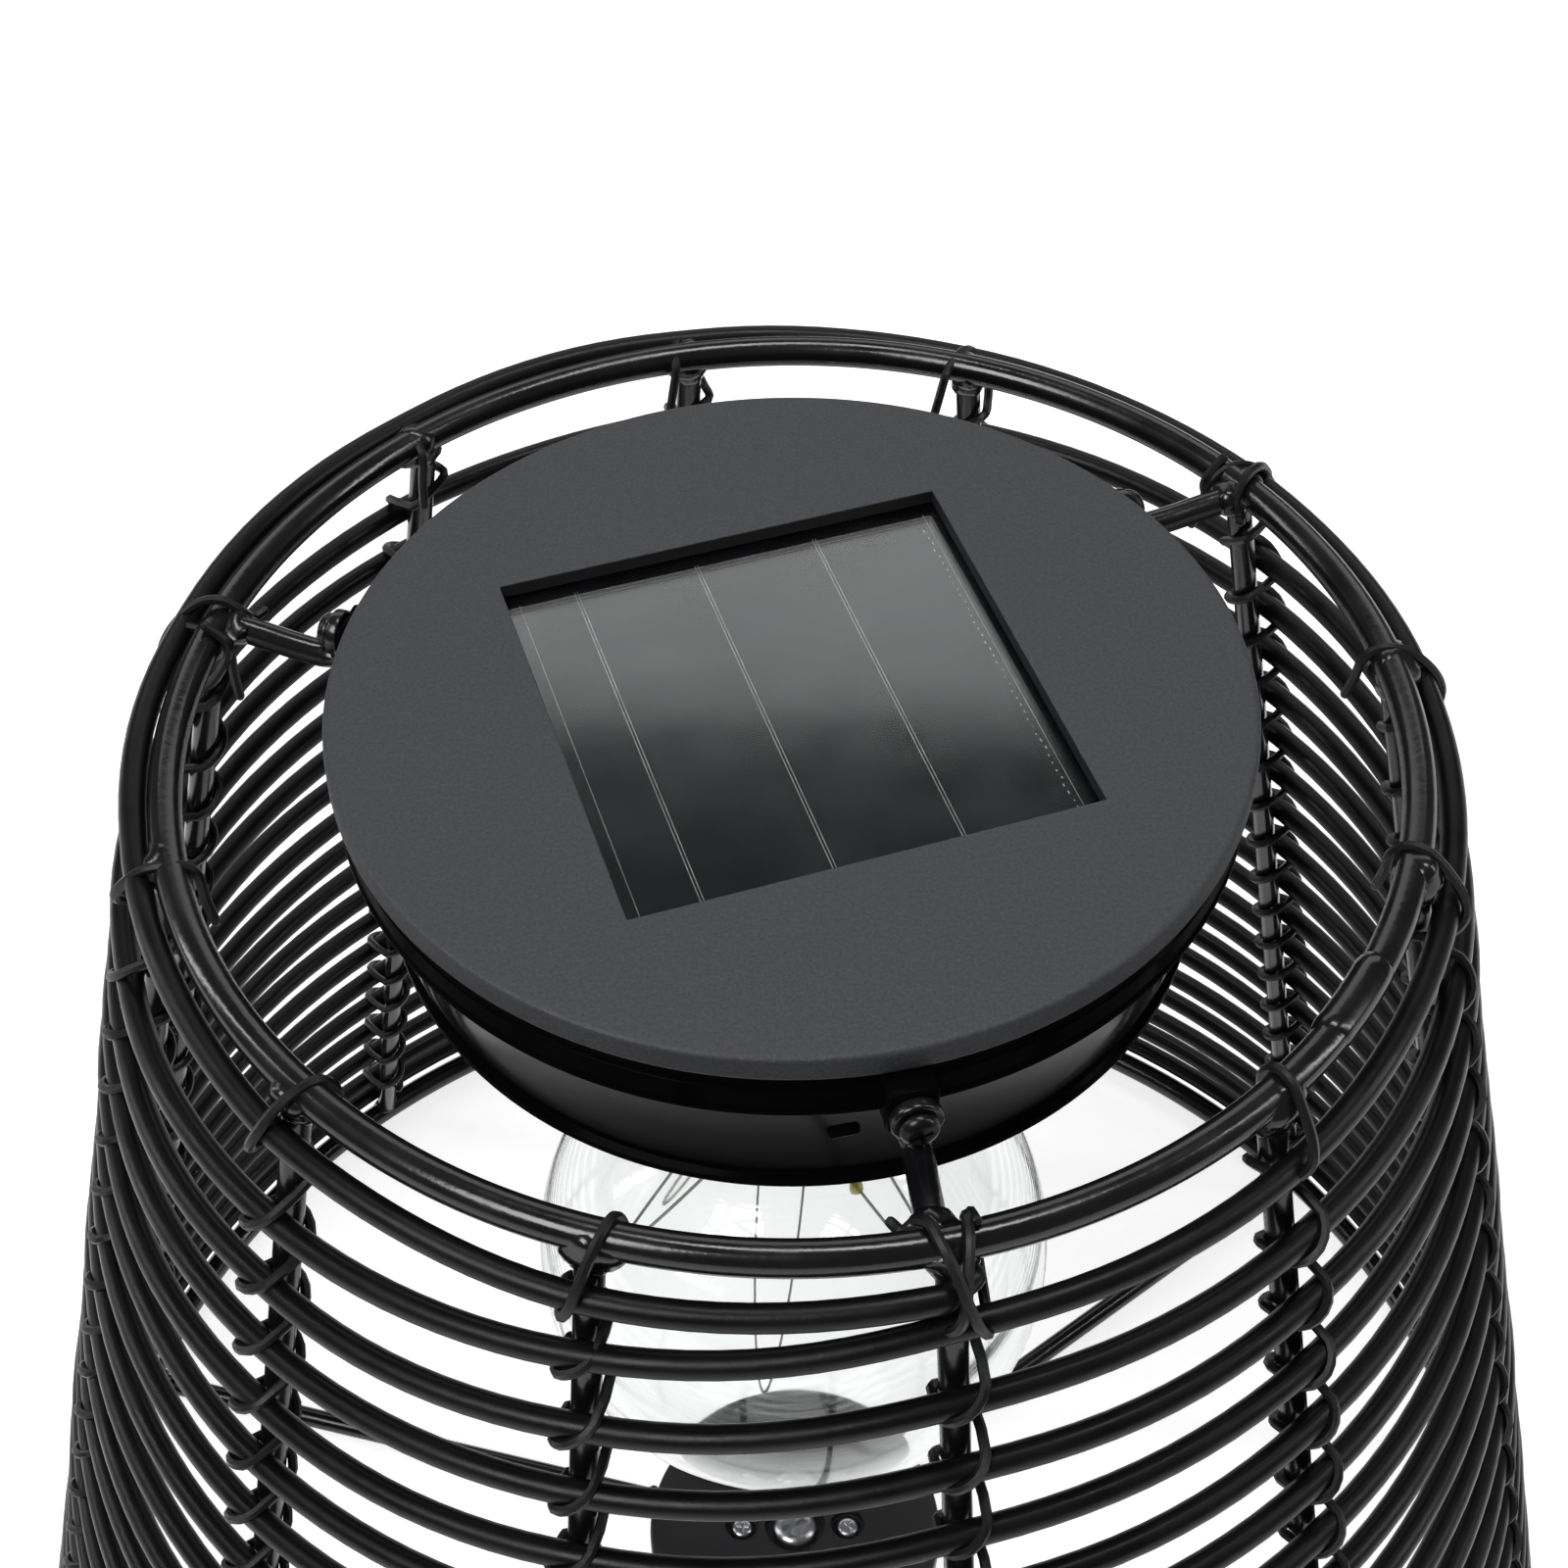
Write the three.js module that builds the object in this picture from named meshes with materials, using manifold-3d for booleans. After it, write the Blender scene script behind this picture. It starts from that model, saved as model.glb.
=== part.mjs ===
// A solar garden lantern: a woven conical shade on a welded wire frame, with a round solar
// unit and a clear globe bulb hung from its top ring.
// Millimetres, +Z up. The origin is the centre of the circle that the lantern stands on.

import * as THREE from "three";
import { mergeVertices } from "three/addons/utils/BufferGeometryUtils.js";
import Module from "manifold-3d";

const wasm = await Module();
wasm.setup();

// ---------- driving dimensions ----------

const GAP = 0.3; // clearance between pieces that touch or are welded or glued

// Wire frame
const TOP_RING_R = 94; // to the rod's centreline, as are all frame radii
const TOP_RING_Z = 252;
const RING_ROD_R = 2.6;
const RIB_ROD_R = 2.15;
const RIB_COUNT = 12;
const FIRST_RIB_DEG = -107.9;
// The ribs are set by hand: how far each one strays from even spacing.
const RIB_DRIFT_DEG = [1.5, 0, 0.5, 0, -4, -4.5, -1.5, -1.5, -1, 3, 3.5, 2.5];
const HANGER_RIBS = [1, 5, 9]; // ribs that line up with the arms above and the struts below
const SHADE_SLOPE = 0.2354; // how far the shade widens for each millimetre down
const FRAME_SIDES = 8;
const RING_SEGMENTS = 60;

// Woven strand
const STRAND_R = 2;
const STRAND_SIDES = 6;
const STRAND_STEPS_PER_TURN = 36; // a multiple of the rib count, so that a corner meets each rib
const STRAND_BOTTOM_Z = 7.2;
const STRAND_LENGTHS = 10;
// How far below the top ring the strand lies on its first turn: [turns from the first arm, drop].
const FIRST_TURN = [
  [-1 / STRAND_STEPS_PER_TURN, 2.8],
  [0.08, 6.2],
  [0.17, 4.5],
  [0.28, 0.5],
  [0.48, 0],
  [0.56, 1.5],
  [0.75, 3.5],
  [0.92, 8.2],
  [1, 8.4],
];
const FIRST_COURSE_REACH = 5.5; // least distance from the top ring's centreline to the strand's
const COURSES_PAST_START = 2.6; // turns wound beyond the count of full courses
const SECOND_COURSE = 22; // drop of the second course
const COURSE_PITCH = 12.6; // from each later course to the next
const STEP_TURNS = 0.25; // each course is level but for a step down over this much of a turn

// Hub: a thick disc at the middle of the base, which a stake or pole can be screwed to
const HUB_R = 31.5;
const HUB_TOP_Z = 6;
const HUB_SCREW_SPACING = 11.5;
const HUB_RECESS_DEPTH = 2.6;

// Solar unit: a cap with a square window, on a tapered cup
const CAP_R = 69.7;
const CAP_TOP_Z = TOP_RING_Z + 9.5;
const CAP_PLATE = 2.4;
const CAP_RIM_Z = TOP_RING_Z + 4.9;
const CAP_SKIRT_R = 64;
const CAP_SKIRT_WALL = 1.8;
const CAP_SKIRT_Z = TOP_RING_Z - 2;
const WINDOW_SIDE = 71.4;
const WINDOW_TURN_DEG = 18;
const CELL_SIDE = 78;
const CELL_COVER_THICKNESS = 1.2;
const CELL_THICKNESS = 1.4;
const RETAINER_R = 61.5;
const RETAINER_THICKNESS = 1.6;
const RETAINER_SCREW_R = 52; // from the axis to each screw
const CUP_BAND_R = 68.5;
const CUP_BAND_Z = TOP_RING_Z - 3.5;
const CUP_BOTTOM_R = 62.3;
const CUP_BOTTOM_Z = TOP_RING_Z - 28;
const CUP_WALL = 2;
const UNIT_SEGMENTS = 40;

// Inside the cup
const BATTERY_R = 7.1;
const BATTERY_LENGTH = 50;
const BATTERY_Y = -30;
const BOARD = { width: 46, depth: 26, thickness: 1.6, y: 36 };
const BOARD_Z = CUP_BOTTOM_Z + 6;
const SWITCH_Y = 38;
const SWITCH_TRAVEL = 3;
const KNOB_SIDE = 3.4;

// Arms that hold the solar unit
const ARM_ROD_R = 2.2;
const EYE_Z = TOP_RING_Z + 0.6;
const EYE_R = 3.7;
const EYE_THICKNESS = 2;
const PAD_FACE_R = 73; // end of the boss on the cup that an eye is screwed to, from the axis
const FIRST_EYE_DEG = -77.5;
const ARM_WELD_TURN_DEG = -1; // from a hanger rib to the place where its arm meets the ring

// Bulb
const GLOBE_R = 47.5;
const GLOBE_Z = TOP_RING_Z - 135;
const GLOBE_WALL = 1.2;
const NECK_R = 14;
const NECK_TOP_Z = CUP_BOTTOM_Z - 8;
const NECK_BLEND_R = 26; // radius of the curve between the globe and its neck
const SOCKET_R = 18;
const SOCKET_HEIGHT = 26;
const SOCKET_FLANGE_R = 25;
const LED_LOOPS = 6;
const LED_WIRE_R = 0.45;
const LED_BEAD_R = 1.3;
const LED_TOP_Z = GLOBE_Z + 46;
const LED_LEAD_R = 9; // from the axis to the wire where it comes down out of the neck

const rad = THREE.MathUtils.degToRad;
const eyeAngle = (i) => rad(FIRST_EYE_DEG + (i * 360) / HANGER_RIBS.length);

// The angle of a rib, or of a place between two ribs when i isn't whole.
function ribAngle(i) {
  const before = Math.floor(i);
  const drift = (rib) => RIB_DRIFT_DEG[THREE.MathUtils.euclideanModulo(rib, RIB_COUNT)];
  const strays = THREE.MathUtils.lerp(drift(before), drift(before + 1), i - before);
  return rad(FIRST_RIB_DEG + (i * 360) / RIB_COUNT + strays);
}

// ---------- materials ----------

const paint = (color, roughness, metalness = 0, opacity = 1) =>
  new THREE.MeshStandardMaterial({ color, roughness, metalness, opacity, transparent: opacity < 1 });

const powderCoat = paint(0x101012, 0.35, 0.2);
const strandPlastic = paint(0x141416, 0.55);
const capPlastic = paint(0x3c3d41, 0.75);
const cupPlastic = paint(0x0c0c0d, 0.2);
const clearPlastic = paint(0xeef2f2, 0.05, 0, 0.3);
const silicon = paint(0x20262a, 0.3, 0.1);
const zinc = paint(0xb9bcc0, 0.35, 0.9);
const blackScrew = paint(0x17171a, 0.3, 0.6);
const boardGreen = paint(0x1f5a3a, 0.6);
const batteryWrap = paint(0x2e6fa8, 0.45);
const springSteel = paint(0xc9cccf, 0.3, 0.9);
const silverWire = paint(0xb8b9ba, 0.4, 0.6);
const sealRubber = paint(0x1b1b1b, 0.85);

// ---------- shape helpers ----------

function solidOf(geometry) {
  const bare = geometry.clone();
  bare.deleteAttribute("normal");
  bare.deleteAttribute("uv");
  const merged = mergeVertices(bare, 1e-4);
  return new wasm.Manifold(
    new wasm.Mesh({
      numProp: 3,
      vertProperties: merged.attributes.position.array,
      triVerts: new Uint32Array(merged.index.array),
    }),
  );
}

function geometryOf(solid) {
  const mesh = solid.getMesh();
  const geometry = new THREE.BufferGeometry();
  geometry.setAttribute("position", new THREE.BufferAttribute(mesh.vertProperties, 3));
  geometry.setIndex(new THREE.BufferAttribute(mesh.triVerts, 1));
  geometry.computeVertexNormals();
  return geometry;
}

const join = (...geometries) => geometryOf(geometries.map(solidOf).reduce((a, b) => a.add(b)));

const cut = (geometry, ...tools) =>
  geometryOf(tools.map(solidOf).reduce((a, b) => a.subtract(b), solidOf(geometry)));

// Turns an outline of [radius, height] points round the Z axis.
function turned(outline, segments = UNIT_SEGMENTS) {
  const points = outline.map(([r, z]) => new THREE.Vector2(r, z));
  const closed = outline[0][0] > 0;
  if (THREE.ShapeUtils.area(points) < 0) points.reverse();
  if (closed) points.push(points[0].clone());
  return new THREE.LatheGeometry(points, segments).rotateX(Math.PI / 2);
}

// A cylinder along Z whose lower end is at z.
function drum(r, z, height, segments = 24) {
  return new THREE.CylinderGeometry(r, r, height, segments)
    .rotateX(Math.PI / 2)
    .translate(0, 0, z + height / 2);
}

function block(width, depth, height, x, y, z) {
  return new THREE.BoxGeometry(width, depth, height).translate(x, y, z + height / 2);
}

// A round bar along a curve, with a corner at each equal step of the curve's own parameter.
function rod(curve, radius, steps, sides) {
  curve.getPointAt = curve.getPoint;
  const section = new THREE.Shape();
  for (let i = 0; i < sides; i++) {
    const turn = ((i + 0.5) * 2 * Math.PI) / sides;
    const [x, y] = [radius * Math.cos(turn), radius * Math.sin(turn)];
    if (i) section.lineTo(x, y);
    else section.moveTo(x, y);
  }
  return new THREE.ExtrudeGeometry(section, { steps, extrudePath: curve });
}

function polar(r, angle, z) {
  return new THREE.Vector3(r * Math.cos(angle), r * Math.sin(angle), z);
}

function straightRod(from, to, radius) {
  return rod(new THREE.LineCurve3(from, to), radius, 1, FRAME_SIDES);
}

// ---------- the assembly ----------

const lantern = new THREE.Group();

function add(name, geometry, material, group = lantern) {
  const mesh = new THREE.Mesh(geometry, material);
  mesh.name = name;
  group.add(mesh);
  return mesh;
}

// ---------- wire frame ----------

const ribR = (z) => TOP_RING_R + SHADE_SLOPE * (TOP_RING_Z - z);
const BOTTOM_RING_Z = RING_ROD_R;
const BOTTOM_RING_R = ribR(BOTTOM_RING_Z);

function ring(radius, z) {
  return new THREE.TorusGeometry(radius, RING_ROD_R, FRAME_SIDES, RING_SEGMENTS)
    .rotateZ(ribAngle(0))
    .translate(0, 0, z);
}

function addFrame() {
  add("top_ring", ring(TOP_RING_R, TOP_RING_Z), powderCoat);
  add("bottom_ring", ring(BOTTOM_RING_R, BOTTOM_RING_Z), powderCoat);
  const ribTop = TOP_RING_Z - RING_ROD_R - GAP - 0.6;
  const ribBottom = BOTTOM_RING_Z + RING_ROD_R + GAP + 0.6;
  for (let i = 0; i < RIB_COUNT; i++) {
    const top = polar(ribR(ribTop), ribAngle(i), ribTop);
    const bottom = polar(ribR(ribBottom), ribAngle(i), ribBottom);
    add(`rib_${i + 1}`, straightRod(bottom, top, RIB_ROD_R), powderCoat);
  }
}

// ---------- woven strand ----------

const WRAP_OFFSET = (STRAND_R + RIB_ROD_R + GAP) * Math.hypot(1, SHADE_SLOPE);
const STRAND_START = FIRST_TURN[0][0];
const FULL_DROP = TOP_RING_Z - STRAND_BOTTOM_Z;
const STRAND_END = COURSES_PAST_START + (FULL_DROP - SECOND_COURSE) / COURSE_PITCH;

// How far below the top ring the strand lies, a number of turns from the first arm.
function strandDrop(turns) {
  if (turns < 1) {
    const next = Math.max(1, FIRST_TURN.findIndex(([at]) => at >= turns));
    const [[from, high], [to, low]] = [FIRST_TURN[next - 1], FIRST_TURN[next]];
    return THREE.MathUtils.lerp(high, low, (turns - from) / (to - from));
  }
  const course = Math.floor(turns);
  const stepLeft = Math.max(0, 1 - (turns - course) / STEP_TURNS);
  const below = SECOND_COURSE + COURSE_PITCH * (course - 1);
  const above = course === 1 ? FIRST_TURN.at(-1)[1] : below - COURSE_PITCH;
  return Math.min(FULL_DROP, THREE.MathUtils.lerp(below, above, stepLeft ** 2));
}

// One length of the strand. It winds down clockwise, seen from above, from the first arm's rib.
class Winding extends THREE.Curve {
  constructor(from, to) {
    super();
    this.from = from;
    this.to = to;
  }
  getPoint(t) {
    const turns = THREE.MathUtils.lerp(this.from, this.to, t);
    const drop = strandDrop(turns);
    const z = TOP_RING_Z - drop;
    const besideRing = TOP_RING_R + Math.sqrt(Math.max(0, FIRST_COURSE_REACH ** 2 - drop ** 2));
    const r = Math.max(ribR(z) + WRAP_OFFSET, besideRing);
    return polar(r, ribAngle(HANGER_RIBS[0] - turns * RIB_COUNT), z);
  }
}

function addWeave() {
  const turns = STRAND_END - STRAND_START;
  const steps = Math.floor((turns * STRAND_STEPS_PER_TURN) / STRAND_LENGTHS);
  const turnsEach = steps / STRAND_STEPS_PER_TURN;
  const cutBack = 0.002; // of a turn, so that two lengths butt with a small gap
  for (let i = 0; i < STRAND_LENGTHS; i++) {
    const start = STRAND_START + i * turnsEach;
    const winding = new Winding(start, start + turnsEach - cutBack);
    add(`weave_strand_${i + 1}`, rod(winding, STRAND_R, steps, STRAND_SIDES), strandPlastic);
  }
}

// ---------- hub and struts ----------

// A pan-head screw along Z, head up, whose head rests at z.
function panScrew(headR, headHeight, shankR, shankLength, z) {
  const dome = headHeight * 0.55;
  return turned(
    [
      [0, z - shankLength],
      [shankR, z - shankLength],
      [shankR, z + GAP / 2],
      [headR, z + GAP / 2],
      [headR, z + GAP / 2 + dome],
      [headR * 0.7, z + headHeight],
      [0, z + headHeight],
    ],
    12,
  );
}

// A cross-shaped driver recess at the top of a screw head.
function crossRecess(size, z) {
  const depth = size * 0.6;
  const bar = size * 0.24;
  return join(block(size, bar, depth, 0, 0, z - depth), block(bar, size, depth, 0, 0, z - depth));
}

const SMALL_HUB_SCREW = { headR: 2.5, headHeight: 1.6, shankR: 1.3, recessR: 3.6 };
const HUB_SCREWS = [
  { name: "hub_screw_centre", x: 0, headR: 4.9, headHeight: 2.6, shankR: 2.4, recessR: 6.5 },
  { name: "hub_screw_left", x: -HUB_SCREW_SPACING, ...SMALL_HUB_SCREW },
  { name: "hub_screw_right", x: HUB_SCREW_SPACING, ...SMALL_HUB_SCREW },
];

function addHub() {
  const seat = HUB_TOP_Z - HUB_RECESS_DEPTH;
  const edge = 0.8;
  const disc = turned(
    [
      [0, 0],
      [HUB_R - edge, 0],
      [HUB_R, edge],
      [HUB_R, HUB_TOP_Z - edge],
      [HUB_R - edge, HUB_TOP_Z],
      [0, HUB_TOP_Z],
    ],
    36,
  );
  const holes = HUB_SCREWS.flatMap(({ x, recessR, shankR }) => [
    drum(recessR, seat, HUB_TOP_Z, 20).translate(x, 0, 0),
    drum(shankR + GAP, -1, HUB_TOP_Z, 16).translate(x, 0, 0),
  ]);
  add("hub_plate", cut(disc, ...holes), powderCoat);
  for (const { name, x, headR, headHeight, shankR } of HUB_SCREWS) {
    const screw = panScrew(headR, headHeight, shankR, seat - 0.6, seat);
    const recess = crossRecess(headR * 1.1, seat + headHeight + 0.01);
    add(name, cut(screw, recess), zinc).position.x = x;
  }
}

function addStruts() {
  HANGER_RIBS.forEach((rib, i) => {
    const inner = polar(HUB_R + GAP, ribAngle(rib), BOTTOM_RING_Z);
    const outer = polar(BOTTOM_RING_R - RING_ROD_R - 2 * GAP, ribAngle(rib), BOTTOM_RING_Z);
    add(`base_strut_${i + 1}`, straightRod(inner, outer, RIB_ROD_R), powderCoat);
  });
}

// ---------- arms ----------

const EYE_SCREW = { headR: 2.8, headHeight: 2, shankR: 1.5, length: 5 };

// Lays a shape that was made along Z down along +X, its base at the given radius and height.
const layRadially = (geometry, r, z) => geometry.rotateY(Math.PI / 2).translate(r, 0, z);

function addArms() {
  const neck = new THREE.Vector3(PAD_FACE_R + 2.6, 0, EYE_Z - 5.6);
  const tabWidth = 3.8;
  for (const [i, rib] of HANGER_RIBS.entries()) {
    const arm = new THREE.Group();
    arm.rotation.z = eyeAngle(i);
    lantern.add(arm);

    const weldAngle = ribAngle(rib) + rad(ARM_WELD_TURN_DEG) - eyeAngle(i);
    const ringEnd = polar(TOP_RING_R - 3.8, weldAngle, TOP_RING_Z - 0.6);
    const eye = layRadially(drum(EYE_R, 0, EYE_THICKNESS, 16), PAD_FACE_R + GAP, EYE_Z);
    const hole = layRadially(drum(EYE_SCREW.shankR + GAP, -1, 4, 12), PAD_FACE_R + GAP, EYE_Z);
    const tabX = PAD_FACE_R + GAP + EYE_THICKNESS / 2;
    const tab = block(EYE_THICKNESS, tabWidth, 6, tabX, 0, EYE_Z - 7.4);
    const bar = rod(new THREE.LineCurve3(neck, ringEnd), ARM_ROD_R, 1, FRAME_SIDES);
    add(`hanger_arm_${i + 1}`, cut(join(eye, tab, bar), hole), powderCoat, arm);

    const { headR, headHeight, shankR, length } = EYE_SCREW;
    const screw = panScrew(headR, headHeight, shankR, length, 0);
    const recess = crossRecess(headR * 1.2, headHeight + 0.01);
    const seatR = PAD_FACE_R + GAP + EYE_THICKNESS + GAP / 2;
    add(`hanger_screw_${i + 1}`, layRadially(cut(screw, recess), seatR, EYE_Z), blackScrew, arm);
  }
}

// ---------- cup ----------

function addCup() {
  const floor = CUP_BOTTOM_Z + CUP_WALL;
  const lip = 1.2;
  const ledge = 0.5;
  const wall = turned([
    [6, CUP_BOTTOM_Z],
    [CUP_BOTTOM_R + lip, CUP_BOTTOM_Z],
    [CUP_BOTTOM_R + lip, CUP_BOTTOM_Z + 1.4],
    [CUP_BOTTOM_R, CUP_BOTTOM_Z + 1.9],
    [CUP_BAND_R - ledge, CUP_BAND_Z - 0.5],
    [CUP_BAND_R + ledge, CUP_BAND_Z],
    [CUP_BAND_R + ledge, CUP_BAND_Z + 0.7],
    [CUP_BAND_R, CUP_BAND_Z + 1.2],
    [CUP_BAND_R, CAP_RIM_Z - GAP],
    [CUP_BAND_R - CUP_WALL, CAP_RIM_Z - GAP],
    [CUP_BAND_R - CUP_WALL, CUP_BAND_Z],
    [CUP_BOTTOM_R - CUP_WALL, floor],
    [6, floor],
  ]);
  const padDepth = PAD_FACE_R - CUP_BAND_R + CUP_WALL / 2;
  const pads = HANGER_RIBS.map((_, i) =>
    block(padDepth, 2 * EYE_R, 8, PAD_FACE_R - padDepth / 2, 0, EYE_Z - 4.4).rotateZ(eyeAngle(i)),
  );
  const bores = HANGER_RIBS.map((_, i) =>
    layRadially(drum(EYE_SCREW.shankR + GAP, -4.6, 8, 12), PAD_FACE_R, EYE_Z).rotateZ(eyeAngle(i)),
  );
  const posts = [-1, 1].flatMap((sx) =>
    [-1, 1].map((sy) =>
      drum(2, CUP_BOTTOM_Z + 1, BOARD_Z - GAP - CUP_BOTTOM_Z - 1, 10).translate(
        sx * (BOARD.width / 2 - 3),
        BOARD.y + sy * (BOARD.depth / 2 - 3),
        0,
      ),
    ),
  );
  const slotLength = KNOB_SIDE + SWITCH_TRAVEL + 2 * GAP;
  const slotX = SWITCH_TRAVEL / 2;
  const slot = block(slotLength, KNOB_SIDE + 2 * GAP, 4, slotX, SWITCH_Y, CUP_BOTTOM_Z - 1);
  const openings = [...bores, slot];
  add("lamp_cup", cut(join(wall, ...pads, ...posts), ...openings), cupPlastic);
}

// ---------- electronics in the cup ----------

function addElectronics() {
  const floor = CUP_BOTTOM_Z + CUP_WALL;
  const board = block(BOARD.width, BOARD.depth, BOARD.thickness, 0, BOARD.y, BOARD_Z);
  add("circuit_board", board, boardGreen);

  const bodyZ = floor + GAP;
  const bodyHeight = BOARD_Z - GAP - bodyZ;
  const slotLength = KNOB_SIDE + SWITCH_TRAVEL + 2 * GAP;
  const slotX = SWITCH_TRAVEL / 2;
  const slot = block(slotLength, KNOB_SIDE + 2 * GAP, bodyHeight, slotX, SWITCH_Y, bodyZ - 0.8);
  const body = block(12, 6.4, bodyHeight, slotX, SWITCH_Y, bodyZ);
  add("switch_body", cut(body, slot), blackScrew);
  const knobTop = bodyZ + bodyHeight - 0.8 - GAP;
  const knobBottom = CUP_BOTTOM_Z - 1.8;
  const knob = block(KNOB_SIDE, KNOB_SIDE, knobTop - knobBottom, 0, SWITCH_Y, knobBottom);
  add("switch_knob", knob, capPlastic);

  const axisZ = floor + GAP + 1.4 + BATTERY_R;
  const alongX = (geometry) => geometry.rotateY(Math.PI / 2).translate(0, BATTERY_Y, axisZ);
  const shell = drum(BATTERY_R, -BATTERY_LENGTH / 2, BATTERY_LENGTH - 1.4, 20);
  const button = drum(2.6, BATTERY_LENGTH / 2 - 1.6, 1.6, 12);
  add("battery", alongX(join(shell, button)), batteryWrap);

  const roomLength = BATTERY_LENGTH + 8;
  const trayHeight = BATTERY_R + 1.4;
  const tray = block(roomLength + 3, 2 * BATTERY_R + 4, trayHeight, 0, BATTERY_Y, floor + GAP);
  const groove = alongX(drum(BATTERY_R + GAP, -roomLength / 2, roomLength, 24));
  add("battery_holder", cut(tray, groove), cupPlastic);
  const plate = block(0.6, 9, 8, BATTERY_LENGTH / 2 + 1, BATTERY_Y, axisZ - 4);
  add("battery_contact", plate, springSteel);

  const turns = 3;
  const springLength = roomLength / 2 - BATTERY_LENGTH / 2 - 1.4;
  class Coil extends THREE.Curve {
    getPoint(t) {
      const r = 4.6 - 1.6 * t;
      const turn = t * turns * 2 * Math.PI;
      return new THREE.Vector3(r * Math.cos(turn), r * Math.sin(turn), t * springLength);
    }
  }
  const springX = -roomLength / 2 + 0.7;
  const spring = rod(new Coil(), 0.35, turns * 10, 5).rotateY(Math.PI / 2);
  add("battery_spring", spring.translate(springX, BATTERY_Y, axisZ), springSteel);
}

// ---------- bulb ----------

function addSocket() {
  const top = CUP_BOTTOM_Z - GAP;
  const bore = NECK_R + GAP;
  const outline = [
    [4, top],
    [SOCKET_FLANGE_R, top],
    [SOCKET_FLANGE_R, top - 2],
    [SOCKET_R, top - 3],
    [SOCKET_R - 1, top - SOCKET_HEIGHT],
    [bore, top - SOCKET_HEIGHT],
    [bore, NECK_TOP_Z + GAP],
    [4, NECK_TOP_Z + GAP],
  ];
  add("bulb_socket", turned(outline, 32), cupPlastic);
}

// The globe's profile from its lowest point up to its neck, drawn inset from the outer surface.
function globeProfile(inset) {
  const r = GLOBE_R - inset;
  const blend = NECK_BLEND_R + inset;
  const neck = NECK_R - inset;
  const reach = neck + blend; // from the axis to the centre of the blending curve
  const meet = Math.acos(reach / (r + blend)); // elevation at which the globe meets that curve
  const points = [];
  const globeSteps = 9;
  for (let i = 0; i <= globeSteps; i++) {
    const angle = THREE.MathUtils.lerp(-Math.PI / 2, meet, i / globeSteps);
    points.push([i ? r * Math.cos(angle) : 0, GLOBE_Z + r * Math.sin(angle)]);
  }
  const blendZ = GLOBE_Z + (r + blend) * Math.sin(meet);
  const blendSteps = 3;
  for (let i = 1; i <= blendSteps; i++) {
    const angle = THREE.MathUtils.lerp(meet, 0, i / blendSteps);
    points.push([reach - blend * Math.cos(angle), blendZ - blend * Math.sin(angle)]);
  }
  points.push([neck, NECK_TOP_Z]);
  return points;
}

function addBulb() {
  const inside = globeProfile(GLOBE_WALL).reverse();
  add("bulb_globe", turned([...globeProfile(0), ...inside], 24), clearPlastic);
}

// A thin wire that hangs in loops round the inside of the globe.
class LedWire extends THREE.Curve {
  getPoint(t) {
    const loop = 2 * Math.PI * LED_LOOPS * t;
    const swing = (1 - Math.cos(loop)) / 2;
    const roundTop = (0.6 * Math.sin(loop)) / LED_LOOPS;
    const turn = t * 2 * Math.PI * 0.96 + roundTop;
    return polar(LED_LEAD_R + 24 * swing, turn, LED_TOP_Z - 68 * swing);
  }
}

function addLedString() {
  const wire = new LedWire();
  const steps = LED_LOOPS * 16;
  const stepsPerBead = 6;
  const loops = rod(wire, LED_WIRE_R, steps, 4);
  const leadLength = NECK_TOP_Z - 4 - LED_TOP_Z;
  const lead = drum(LED_WIRE_R + 0.1, LED_TOP_Z - 0.3, leadLength, 6).translate(LED_LEAD_R, 0, 0);
  const beads = [];
  for (let step = stepsPerBead; step < steps; step += stepsPerBead) {
    const at = wire.getPoint(step / steps);
    beads.push(new THREE.IcosahedronGeometry(LED_BEAD_R, 0).translate(at.x, at.y, at.z));
  }
  add("led_string", join(loops, lead, ...beads), silverWire);
}

// ---------- cap ----------

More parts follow.
